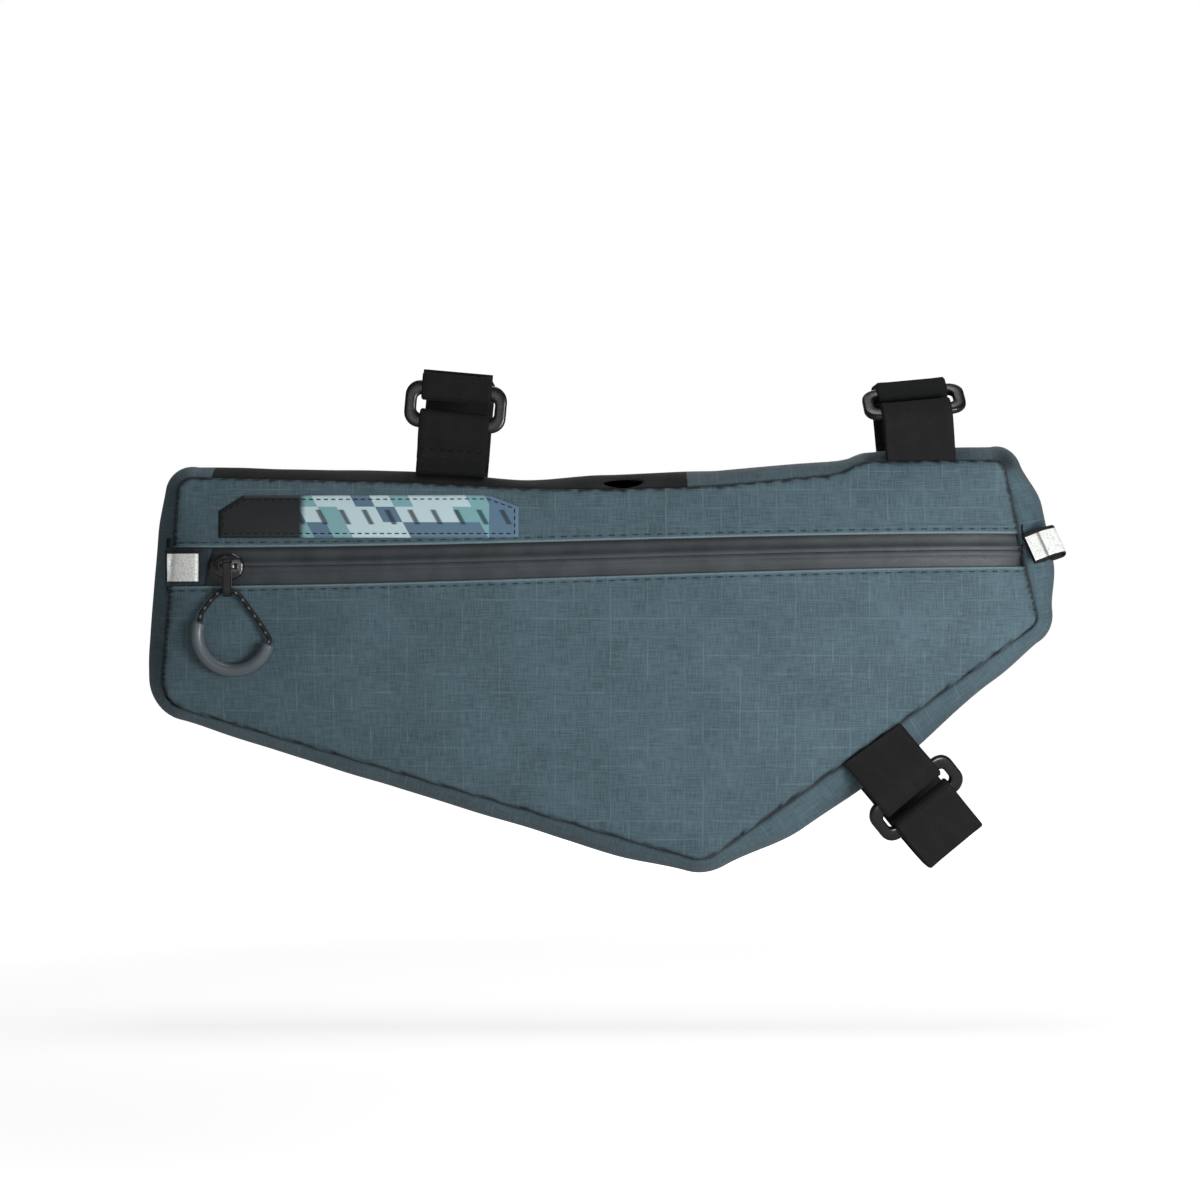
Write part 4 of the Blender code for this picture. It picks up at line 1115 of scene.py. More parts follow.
@dataclass
class ClothShell:
    """The side panels with their hems along the zip, the gusset and the black strip with its cable port."""

    shape: BagShape
    shop: Workshop
    cloth: float = 0.9 * MM
    columns: int = 190
    hem_rows: tuple[float, ...] = (0, 0.25, 0.6, 1.0, 1.5, 2.0, 2.5, 3.1, 3.6, 4.1, 4.8, 6.0)
    port_size: tuple[float, float] = (17 * MM, 8 * MM)
    port_along: float = 0.526
    port_from_edge: float = 4.2 * MM
    port_tilt: float = 23.0
    creases: tuple[tuple[float, float, float], ...] = ((133.6, -20.4, 4.0), (79.0, -18.0, 3.4))

    def hem_lift(self, from_edge: float, x: float) -> float:
        """Height of the folded and stitched hem at a distance from its fold."""
        edge = 1 - min(from_edge / (0.9 * MM), 1.0)
        fold = -0.9 * MM * (1 - math.sqrt(max(1 - edge * edge, 0.0)))
        plateau = 0.45 * MM * (1 - ease((from_edge - 3.3 * MM) / (1.0 * MM)))
        stitch = math.exp(-(((from_edge - 2.1 * MM) / (0.65 * MM)) ** 2))
        pull = 0.75 + 0.25 * math.cos(2 * math.pi * x / (5.0 * MM))
        wave = 0.12 * MM * rippled(Vector((x, 0, 0)), 11 * MM, 3.0)
        return fold + plateau + wave - 0.28 * MM * stitch * pull

    @staticmethod
    def seam_shade(distance: float) -> float:
        """How much painted shade the cloth gets at a distance from a seam."""
        return 0.95 * math.exp(-((distance / (0.9 * MM)) ** 2)) + 0.1 * math.exp(
            -((distance / (3.5 * MM)) ** 2)
        )

    def cloth_shade(self, point: Vector) -> float:
        """The painted shade of the cloth at a point: painted shade in seams, spread unevenly along them, and on the
        front only, painted shade in the furrow of the hem's stitch row and a painted highlight (below 0) on the edge
        of the hem's fold.
        """
        shape = self.shape
        off = abs(point.z - shape.zip_height(point.x)) - shape.zip_half(point.x)
        distance, travel = shape.near_seam(point.xz)
        # Painted shade along the seam, widened unevenly as if by puckers.
        spread = 1 + max(rippled(Vector((travel, 0, 0)), 3.2 * MM), 0.0) * 1.6
        seam = self.seam_shade(distance / spread)
        # Painted highlight along the edge of the hem's fold.
        edge = math.exp(-(((off - 0.55 * MM) / (0.55 * MM)) ** 2))
        # Painted shade in the furrow of the stitch row.
        furrow_painted_shade = 0.25 * math.exp(-(((off - 2.1 * MM) / (0.6 * MM)) ** 2))
        return seam + (furrow_painted_shade - 0.5 * edge) * (point.y < 0)

    def front_rows(self, u: float, upper: bool) -> list[Vector]:
        """One column of a front panel, from its seam to its hem."""
        shape = self.shape
        if upper:
            edge = shape.zip_v(u, shape.zip_half)
            seam = 0.0
        else:
            edge = shape.zip_v(u, lambda x: -shape.zip_half(x))
            seam = 1.0
        height = abs(shape.plane_point(u, edge).y - shape.plane_point(u, seam).y)
        per_metre = abs(edge - seam) / max(height, 1e-6)
        way = 1 if edge > seam else -1
        hem = [edge - way * distance * MM * per_metre for distance in self.hem_rows]
        last = hem[-1]
        count = 22 if upper else 58
        body = []
        for k in range(count):
            share = k / count
            share += 0.5 * (ease(share) - share)
            body.append(seam + (last - seam) * share)
        x = shape.plane_point(u, edge).x
        points = []
        for v in body + hem[::-1]:
            from_edge = abs(edge - v) / per_metre
            lift = self.hem_lift(from_edge, x) if from_edge < 6.5 * MM else 0.0
            points.append(shape.skin_point(u, v, -1, lift))
        return points

    def panel(self, name: str, rows: list[list[Vector]], node: str, side: float) -> None:
        """Make one panel, with the weave upright on it, painted shade along its seam and, on the front panels,
        painted shade and highlight along the hem.
        """
        # Painted shade and highlight for each point, kept in the fold attribute.
        fold = [[self.cloth_shade(point) for point in row] for row in rows]
        bm = surface(rows, lambda i, j: tuple(rows[i][j].xz), fold=fold)
        face_outward(bm, lambda point: Vector((0, side, 0)))
        self.shop.piece(name, bm, RIPSTOP, "ripstop_cloth", [node], self.cloth)

    def gusset_section(self, row: SeamRow, steps: int = 26) -> list[Vector]:
        """The gusset's section at a row of the seam, from front to back."""
        section = []
        travel = self.shape.near_seam(row.point)[1]
        for k in range(steps + 1):
            s = 2 * k / steps - 1
            s = s + 0.25 * (math.sin(math.pi * s / 2) - s)
            near = 1 - abs(s)
            rise = self.shape.gusset_rise(row.bulge, s)
            spot = Vector((row.point.x, s * BAND_Y, row.point.y))
            gather = rippled(Vector((travel, 4, s > 0)), 4.6 * MM, 3.0)
            rise += 0.5 * MM * ease(near / 0.4) * rippled(spot, 24 * MM, 4.0)
            rise += 0.3 * MM * math.exp(-((near / 0.22) ** 2)) * gather
            rise -= 1.2 * MM * self.crease(row.point, s)
            turn = 1 - min(near / 0.1, 1.0)
            rise -= 0.9 * MM * (1 - math.sqrt(max(1 - turn * turn, 0.0)))
            flat = row.point + row.out * rise
            section.append(Vector((flat.x, s * BAND_Y, flat.y)))
        return section

    def crease(self, point: Vector, s: float) -> float:
        """How deep a seam place's gusset lies in one of the creases beside the front strap."""
        spots = [
            math.exp(-(((point - Vector((x, z)) * MM).length / (size * MM)) ** 2))
            for x, z, size in self.creases
        ]
        return max(spots) * math.exp(-(((s + 0.78) / 0.3) ** 2))

    def band(self, name: str, start: str, end: str, finish: Finish, slot: str, node: str) -> bpy.types.Object:
        """Make a stretch of the gusset between two stations."""
        places = self.shape.between(start, end)
        rows = [self.gusset_section(row) for row in places]
        # Painted shade along both seams and in the creases beside the front strap.
        fold = [
            [
                self.seam_shade(BAND_Y - abs(point.y)) + 0.7 * self.crease(row.point, point.y / BAND_Y)
                for point in points
            ]
            for row, points in zip(places, rows)
        ]
        bm = surface(rows, fold=fold)
        middle = in_plane(0.5, 0.5)
        face_outward(bm, lambda point: Vector((point.x - middle.x, 0, point.z - middle.y)))
        return self.shop.piece(name, bm, finish, slot, [node], self.cloth)

    def port(self, strip: bpy.types.Object) -> None:
        """Cut the oval cable port."""
        x = LEFT_X + self.port_along * SEAM_LENGTH
        row = min(self.shape.between("strip_front", "strip_rear"), key=lambda r: abs(r.point.x - x))
        depth = BAND_Y - self.port_from_edge
        height = row.point.y + self.shape.gusset_rise(row.bulge, depth / BAND_Y)
        tilt = math.radians(self.port_tilt)
        centre = Vector((x, -depth, height))
        up = Vector((0, -math.sin(tilt), math.cos(tilt)))
        across = Vector((0, math.cos(tilt), math.sin(tilt)))
        rings = []
        for level in (-5 * MM, 5 * MM):
            ring = []
            for k in range(40):
                turn = 2 * math.pi * k / 40
                ring.append(
                    centre
                    + Vector((1, 0, 0)) * math.cos(turn) * self.port_size[0] / 2
                    + across * math.sin(turn) * self.port_size[1] / 2
                    + up * level
                )
            rings.append(ring)
        bm = surface(rings, loop=True)
        close_ends(bm)
        mesh = bpy.data.meshes.new("port_cutter")
        bm.to_mesh(mesh)
        bm.free()
        cutter = bpy.data.objects.new("port_cutter", mesh)
        bpy.context.scene.collection.objects.link(cutter)
        hole = strip.modifiers.new("cable_port", "BOOLEAN")
        hole.operation = "DIFFERENCE"
        hole.object = cutter
        bpy.context.view_layer.update()
        graph = bpy.context.evaluated_depsgraph_get()
        cut = bpy.data.meshes.new_from_object(strip.evaluated_get(graph))
        strip.modifiers.clear()
        strip.data = cut
        bpy.data.objects.remove(cutter, do_unlink=True)

    def build(self) -> None:
        """Make every cloth piece of the body."""
        columns = [k / self.columns for k in range(self.columns + 1)]
        self.shape.make_skin()
        self.panel("upper_front_cloth", [self.front_rows(u, True) for u in columns], "front_panel_upper", -1)
        self.panel("lower_front_cloth", [self.front_rows(u, False) for u in columns], "front_panel_lower", -1)
        back = [[self.shape.skin_point(u, j / 70, 1) for j in range(71)] for u in columns]
        self.panel("back_cloth", back, "back_panel", 1)
        self.band("side_cloth", "strip_rear", "strip_front", RIPSTOP, "ripstop_cloth", "gusset")
        strip = self.band(
            "rubber_strip", "strip_front", "strip_rear", STRIP_CLOTH, "rubberised_cloth", "top_strip"
        )
        self.port(strip)


@dataclass
class ZipClosure:
    """The coated zip's two tapes with the coil's ridge under them, its garage and the stitch rows beside it."""

    shape: BagShape
    shop: Workshop
    behind: float = 2.1 * MM
    under: float = 4 * MM
    tape: float = 0.8 * MM

    def tape_lift(self, off: float, x: float) -> float:
        """How far the coated tape stands out of its bed at a distance from the zip's middle line."""
        coil = 0.7 * MM * math.exp(-((abs(off) / (2.8 * MM)) ** 4))
        ridge = 0.12 * MM * math.exp(-(((abs(off) - 1.6 * MM) / (0.6 * MM)) ** 2))
        meeting = 0.14 * MM * math.exp(-((off / (0.4 * MM)) ** 2))
        wave = 0.16 * MM * rippled(Vector((x, off, 0)), 13 * MM, 6.0)
        return coil + ridge - meeting + wave

    def half(self, name: str, node: str, side: int) -> None:
        """Make one tape: side 1 is the upper and -1 the lower."""
        shape = self.shape
        rows, fold = [], []
        end = shape.v_at_height(1, shape.zip_height(LEFT_X + 0.98 * SEAM_LENGTH))
        first, last = LEFT_X + 3.5 * MM, shape.plane_point(1, end).x + 0.9 * MM
        for k in range(201):
            x = first + (last - first) * k / 200
            reach = shape.zip_half(x) + self.under
            points, shade = [], []
            for share in (0, 0.015, 0.04, 0.08, 0.12, 0.16, 0.2, 0.26, 0.34, 0.45, 0.6, 0.8, 1):
                off = side * (0.05 * MM + (reach - 0.05 * MM) * share)
                z = shape.zip_height(x) + off
                lift = self.tape_lift(off, x) - self.behind
                points.append(shape.on_front(x, z, lift))
                # Painted shade on the tape near and under the hems' folds, starting farther out from the upper hem.
                under = (abs(off) - shape.zip_half(x)) / MM
                shade.append(ease((under + (2.4 if side > 0 else 1.0)) / 2.4) * 0.9)
            # Painted shade towards the tape's front end, under the front tab.
            dark = 0.9 * ease(1 - (last - x) / (4 * MM))
            fold.append([max(value, dark) for value in shade])
            rows.append(points)
        bm = surface(rows, fold=fold)
        face_outward(bm, lambda point: Vector((0, -1, 0)))
        self.shop.piece(name, bm, ZIP_COATING, "coated_zip_tape", [node], self.tape)

    def garage(self) -> None:
        """Make the cloth hood over the zip's rear end."""
        shape = self.shape
        rows = []
        start = LEFT_X + 3.4 * MM
        for i in range(22):
            points = []
            for j in range(15):
                part = j / 14
                length = 20.5 * MM - 3.6 * MM * part
                x = start + length * i / 21
                half = shape.zip_half(x) - 0.1 * MM
                z = shape.zip_height(x) + half * (1 - 2 * part)
                edge = 1 - min((21 - i) / 2.5, 1.0)
                lift = 0.35 * MM - 0.7 * MM * (1 - math.sqrt(max(1 - edge * edge, 0.0)))
                points.append(shape.on_front(x, z, lift + 0.3 * MM * rippled(Vector((x, z, 0)), 8 * MM)))
            rows.append(points)
        bm = surface(rows, lambda i, j: tuple(rows[i][j].xz))
        face_outward(bm, lambda point: Vector((0, -1, 0)))
        self.shop.piece("garage_cloth", bm, DARK_CLOTH, "dark_cloth", ["zip_garage"], 0.9 * MM)

    def stitches(self) -> None:
        """Sew the two rows beside the zip."""
        shape = self.shape
        for name, side in (("upper_hem_thread", 1), ("lower_hem_thread", -1)):
            line = []
            for k in range(240):
                x = LEFT_X + SEAM_LENGTH * (0.022 + 0.955 * k / 239)
                z = shape.zip_height(x) + side * (shape.zip_half(x) + 2.1 * MM)
                line.append(shape.on_front(x, z, 0.3 * MM))
            bm = StitchRow(dash=2.7 * MM, thread=0.27 * MM).build(line, lambda point: shape.front_normal(point.x, point.z))
            self.shop.piece(name, bm, THREAD, "ripstop_cloth")

    def build(self) -> None:
        """Make the zip's pieces."""
        self.half("upper_coated_tape", "zip_tape_upper", 1)
        self.half("lower_coated_tape", "zip_tape_lower", -1)
        self.garage()
        self.stitches()


class Anchor(Enum):
    """What the short webbing of a strap is sewn to."""

    FOOT = "foot"
    SEAM = "seam"


@dataclass
class StrapLoop:
    """One strap loop: the long webbing round the tube, the ring, and the short webbing that holds the ring."""

    name: str
    start: str
    end: str
    share: float
    lean: float
    top: float
    ring_depth: float
    ring_height: float
    ring_tilt: float
    nose_depth: float
    nose_radius: float
    anchor: Anchor
    shape: BagShape
    shop: Workshop
    slot_length: float = 33 * MM
    slot_height: float = 8 * MM
    side_bar: float = 5 * MM
    cross_bar: float = 6 * MM
    ring_thickness: float = 3.4 * MM
    up: Vector = field(init=False)
    across: Vector = field(init=False)

    def __post_init__(self) -> None:
        seam, out, self.bulge = self.shape.seam_at(self.share, self.start, self.end)
        turn = math.radians(self.lean)
        self.up = Vector(
            (
                out.x * math.cos(turn) - out.y * math.sin(turn),
                out.x * math.sin(turn) + out.y * math.cos(turn),
            )
        )
        self.across = Vector((self.up.y, -self.up.x))
        self.seam_way = Vector((out.y, -out.x))
        self.base = seam + out * self.bulge
        self.crest = self.bulge + self.shape.farther(seam, out)

    def place(self, depth: float, height: float, side: float = 0.0) -> Vector:
        """The point at a depth towards the viewer, a height over the gusset's crest and a way across."""
        share = min(max((height - 2 * MM) / (7 * MM), 0.0), 1.0)
        across = self.seam_way.lerp(self.across, share).normalized()
        flat = self.base + self.up * height + across * side
        return Vector((flat.x, -depth, flat.y))

    def seated(self, depth: float, radius: float) -> tuple[Vector, float]:
        """A corner of webbing that lies on the gusset at a depth."""
        drop = self.bulge - self.shape.gusset_rise(self.crest, depth / BAND_Y)
        return Vector((depth, 0.4 * MM + WEBBING / 2 - drop)), radius

    def shade(self, point: Vector) -> float:
        """The painted shade of the webbing at a (depth, height): darker behind the ring, and on the foot under the
        front ply.
        """
        centre = Vector((self.ring_depth, self.ring_height)) * MM
        inner = ease((centre.x + 1.6 * MM - point.x) / (2.6 * MM))
        near = ease(1.6 - abs(point.y - centre.y) / (9 * MM))
        below = ease((6.0 * MM - point.y) / (1.2 * MM)) * (self.anchor is Anchor.FOOT)
        return 0.9 * max(inner * near * (point.x > 0), below * (point.x > 0))

    def webbing(self, name: str, corners: Sequence[tuple[Vector, float]], node: str) -> None:
        """Make webbing along rounded corners of (depth, height)."""
        path = [point for point, _ in rounded(corners, step=2 * MM, turn_step=9)]
        profile = flat_profile(WEBBING_WIDTH, WEBBING, 0.48, 12, 0.12)
        rows = []
        for index, point in enumerate(path):
            ahead = path[min(index + 1, len(path) - 1)] - path[max(index - 1, 0)]
            ahead.normalize()
            out = Vector((ahead.y, -ahead.x))
            sway = 0.25 * MM * rippled(Vector((point.x, point.y, self.share)), 22 * MM)
            rows.append(
                [
                    self.place(*(point + out * (thick + 0.4 * sway)), side + sway)
                    for side, thick in profile
                ]
            )
        # Painted shade from shade() for each point of the path.
        fold = [[self.shade(point)] * len(profile) for point in path]
        bm = surface(rows, loop=True, across=[side for side, _ in profile], fold=fold)
        close_ends(bm)
        self.shop.piece(name, bm, BLACK_WEBBING, "black_webbing", [node])

    def ring(self, centre: Vector, up_axis: Vector, front_axis: Vector) -> None:
        """Make the rounded ring with one slot."""
        outlines = []
        for length, height, corner in (
            (self.slot_length, self.slot_height, 2.2 * MM),
            (self.slot_length + 2 * self.side_bar, self.slot_height + 2 * self.cross_bar, 6.5 * MM),
        ):
            points = []
            for sx, sy in ((1, 1), (-1, 1), (-1, -1), (1, -1)):
                cx, cy = sx * (length / 2 - corner), sy * (height / 2 - corner)
                start = math.atan2(sy, sx) - math.pi / 4
                for k in range(9):
                    turn = start + math.pi / 2 * k / 8
                    points.append(Vector((cx + corner * math.cos(turn), cy + corner * math.sin(turn))))
            full = []
            for index, (before, after) in enumerate(zip(points, points[1:] + points[:1])):
                steps = 8 if index % 9 == 8 else 1
                full += [before.lerp(after, k / steps) for k in range(steps)]
            outlines.append(full)
        inner, outer = outlines
        rows = []
        for near, far in zip(inner, outer):
            section = []
            for k in range(20):
                turn = 2 * math.pi * k / 20
                c, s = math.cos(turn), math.sin(turn)
                wide = math.copysign(abs(c) ** 0.55, c)
                thick = math.copysign(abs(s) ** 0.62, s) * self.ring_thickness / 2
                flat = near.lerp(far, 0.5 + 0.5 * wide)
                at = centre + up_axis * flat.y + front_axis * thick
                section.append(self.place(at.x, at.y, flat.x))
            rows.append(section)
        bm = surface(rows, ring=True, loop=True)
        bmesh.ops.recalc_face_normals(bm, faces=bm.faces)
        self.shop.piece(
            self.name + "_moulded_ring", bm, RING_ACETAL, "black_acetal", [self.name + "_ring"]
        )

    def build(self) -> None:
        """Make the ring and both pieces of webbing."""
        tilt = math.radians(self.ring_tilt)
        up_axis = Vector((-math.sin(tilt), math.cos(tilt)))
        front_axis = Vector((math.cos(tilt), math.sin(tilt)))
        centre = Vector((self.ring_depth, self.ring_height)) * MM
        bar = (self.slot_height + self.cross_bar) / 2
        upper, lower = centre + up_axis * bar, centre - up_axis * bar
        wrap = 0.3 * MM + WEBBING / 2
        out = self.ring_thickness / 2 + wrap
        past = self.cross_bar / 2 + wrap
        turn = 0.98 * out
        top = self.top * MM
        self.ring(centre, up_axis, front_axis)
        back = -17.5 * MM
        foot = back + 10.8 * MM
        under = upper - up_axis * past
        tail = upper - front_axis * out + up_axis * (self.cross_bar + WEBBING)
        self.webbing(
            self.name + "_long_webbing",
            [
                self.seated(foot, 0),
                self.seated((foot + back) / 2, 20 * MM),
                self.seated(back, 2.4 * MM),
                (Vector((back, top)), 8 * MM),
                (Vector((self.nose_depth * MM, top)), self.nose_radius * MM),
                (under + front_axis * out, turn),
                (under - front_axis * out, turn),
                (tail, 0),
            ],
            self.name + "_strap",
        )
        over = lower + up_axis * past
        if self.anchor is Anchor.FOOT:
            inner = self.ring_depth * MM - 2.2 * MM
            corners = [
                self.seated(inner - 9 * MM, 0),
                self.seated(inner - 4.5 * MM, 20 * MM),
                self.seated(inner, 2.4 * MM),
                (Vector((inner, 12 * MM)), 6 * MM),
                (over - front_axis * out, turn),
                (over + front_axis * out, turn),
                (lower + front_axis * out - up_axis * self.cross_bar, 6 * MM),
                (Vector((inner + 2.1 * MM, 10.2 * MM)), 4.2 * MM),
                (Vector((inner + 2.1 * MM, 6.3 * MM)), 0),
            ]
        else:
            seam = SEAM_Y + 1.2 * MM
            corners = [
                (Vector((seam, -self.bulge)), 0),
                (Vector((seam, 1.8 * MM - self.bulge)), 4.2 * MM),
                (lower + front_axis * out - up_axis * past, 6 * MM),
                (over + front_axis * out, turn),
                (over - front_axis * out, turn),
                (Vector((seam - 2.5 * MM, 3 * MM)), 0),
            ]
        self.webbing(self.name + "_short_webbing", corners, self.name + "_anchor")
        if self.anchor is Anchor.FOOT:
            depth = corners[-1][0].x + WEBBING / 2
            line = [self.place(depth, 10.0 * MM, side * MM) for side in (-13.8, -7, 0, 7, 13.8)]
            thread = StitchRow(pitch=4.1 * MM, dash=2.0 * MM, thread=0.42 * MM, rise=0.2 * MM)
            bm = thread.build(line, lambda point: Vector((0, -1, 0)))
            self.shop.piece(self.name + "_thread", bm, BLACK_THREAD, "black_webbing")


@dataclass
class LabelPatch:
    """The printed patch with cut corners and its stitched border."""

    shape: BagShape
    shop: Workshop
    length: float = 125.6 * MM
    height: float = 18 * MM
    along: float = 0.0711
    bottom: float = 0.163
    thickness: float = 0.7 * MM
    edge: tuple[tuple[float, float], ...] = ((0, 0.62), (0.08, 0.98), (0.9, 1), (1, 0.72))

    def top_at(self, share: float) -> float:
        """The height of the upper edge, as a share of the patch's height."""
        for (a, high), (b, after) in zip(self.edge, self.edge[1:]):
            if share <= b:
                return high + (after - high) * (share - a) / (b - a)
        return self.edge[-1][1]

    def point(self, along: float, up: float, lift: float) -> Vector:
        """A point over the patch at metres along it and up from its lower edge."""
        x = LEFT_X + self.along * SEAM_LENGTH + along
        return self.shape.on_front(x, TOP_Z - self.bottom * SEAM_HEIGHT + up, lift)

    def build(self) -> None:
        """Make the patch and the thread of its border."""
        lift = 0.15 * MM + self.thickness
        places = []
        rows = []
        for i in range(127):
            share = i / 126
            top = self.top_at(share) * self.height
            points, marks = [], []
            for j in range(17):
                part = j / 16
                up = top * part
                near = min(share * self.length, (1 - share) * self.length, up, top - up)
                edge = 1 - min(near / (0.5 * MM), 1.0)
                drop = 0.3 * MM * (1 - math.sqrt(max(1 - edge * edge, 0.0)))
                points.append(self.point(share * self.length, up, lift - drop))
                marks.append((share * self.length, up))
            rows.append(points)
            places.append(marks)
        bm = surface(rows, lambda i, j: places[i][j])
        face_outward(bm, lambda point: Vector((0, -1, 0)))
        self.shop.piece(
            "printed_patch", bm, LABEL_PRINT, "printed_label", ["label_patch"], self.thickness
        )
        inset = 1.7 * MM
        line = [(inset, inset), (self.length - inset, inset)]
        line += [(self.length - inset, 0.68 * self.height), (0.895 * self.length, self.height - inset)]
        line += [(0.083 * self.length, 0.98 * self.height - inset), (inset, 0.58 * self.height), (inset, inset)]
        points = []
        for (a, b), (c, d) in zip(line, line[1:]):
            steps = max(2, round(math.hypot(c - a, d - b) / (2 * MM)))
            points += [
                self.point(a + (c - a) * k / steps, b + (d - b) * k / steps, lift)
                for k in range(steps)
            ]
        thread = StitchRow(pitch=3.1 * MM, dash=2.1 * MM, thread=0.24 * MM)
        bm = thread.build(points, lambda point: self.shape.front_normal(point.x, point.z))
        self.shop.piece("patch_thread", bm, BLACK_THREAD, "printed_label")


@dataclass
class ReflectiveTabs:
    """The two reflective ribbons folded over the zip's ends."""

    shape: BagShape
    shop: Workshop
    width: float = 13.6 * MM
    ribbon: float = 0.9 * MM
    front_corners: tuple[tuple[float, float, float], ...] = (
        (0.04, 0.0, 0),
        (0.36, 0.3, 1.5),
        (0.46, 0.12, 1.2),
        (0.60, 0.72, 2.0),
        (1.0, 0.86, 1.8),
        (0.98, -0.06, 1.8),
        (0.62, -0.36, 3.0),
        (0.08, -0.33, 0),
    )

    def sweep(
        self,
        path: Sequence[Vector],
        place: Callable[[float, float, float], Vector],
        outer: int,
        groove: float = -1.0,
    ) -> bmesh.types.BMesh:
        """Run the ribbon's section along a path seen from the ribbon's edge.

        Args:
            path: The middle of the ribbon's thickness.
            place: The point for a place of the path and a way across.
            outer: 1 if the film is on the left of the path, -1 if on its right.
            groove: Where along x the ribbon folds inwards; painted shade darkens it there.
        """
        profile = flat_profile(self.width, self.ribbon, 0.48, 8)
        rows = []
        for index, point in enumerate(path):
            ahead = path[min(index + 1, len(path) - 1)] - path[max(index - 1, 0)]
            ahead.normalize()
            out = Vector((-ahead.y, ahead.x))
            rows.append([place(*(point + out * thick), side) for side, thick in profile])
        marks = [side if thick * outer > 0 else side + 1 for side, thick in profile]
        # Painted shade in the groove of the fold.
        fold = [
            [0.8 * math.exp(-(((point.x - groove) / (0.7 * MM)) ** 2))] * len(profile)
            for point in path
        ]
        bm = surface(rows, loop=True, across=marks, fold=fold)
        close_ends(bm)
        return bm

    def rear(self) -> None:
        """Make the tab folded flat at the zip's rear end."""
        x = LEFT_X + 0.0125 * SEAM_LENGTH
        z = TOP_Z - 0.235 * SEAM_HEIGHT
        low, high = 1.1 * MM, 3.7 * MM
        length = 13 * MM
        corners = [(0.0, low, 0), (length, low, 1.25), (length, high, 1.25), (0.0, high - MM, 0)]
        path = [p for p, _ in rounded([(Vector((a, b)), r * MM) for a, b, r in corners], step=0.9 * MM, turn_step=12)]

        def place(along: float, lift: float, side: float) -> Vector:
            return self.shape.on_front(x + along, z + side, lift)

        self.shop.piece(
            "rear_ribbon_tab", self.sweep(path, place, -1), RIBBON, "reflective_ribbon", ["rear_tab"]
        )

    def front(self) -> None:
        """Make the open loop that stands out at the zip's front end."""
        x = LEFT_X + 0.982 * SEAM_LENGTH
        z = TOP_Z - 0.196 * SEAM_HEIGHT
        rise, turn = math.radians(21), math.radians(24)
        along = Vector((math.cos(rise), 0, math.sin(rise)))
        upright = Vector((-math.sin(rise), 0, math.cos(rise)))
        across = upright * math.cos(turn) + Vector((0, 1, 0)) * math.sin(turn)
        front = across.cross(along).normalized()
        base = Vector((x, -(SEAM_Y + 1.4 * MM), z))
        corners = [(Vector((a * 14.5 * MM, b * 5.4 * MM)), r * MM) for a, b, r in self.front_corners]
        path = [p for p, _ in rounded(corners, step=0.9 * MM, turn_step=12)]

        def place(out: float, deep: float, side: float) -> Vector:
            return base + along * out + front * deep + across * side

        self.shop.piece(
            "front_ribbon_tab", self.sweep(path, place, 1, 6.7 * MM), RIBBON, "reflective_ribbon", ["front_tab"]
        )

    def build(self) -> None:
        """Make both tabs."""
        self.rear()
        self.front()


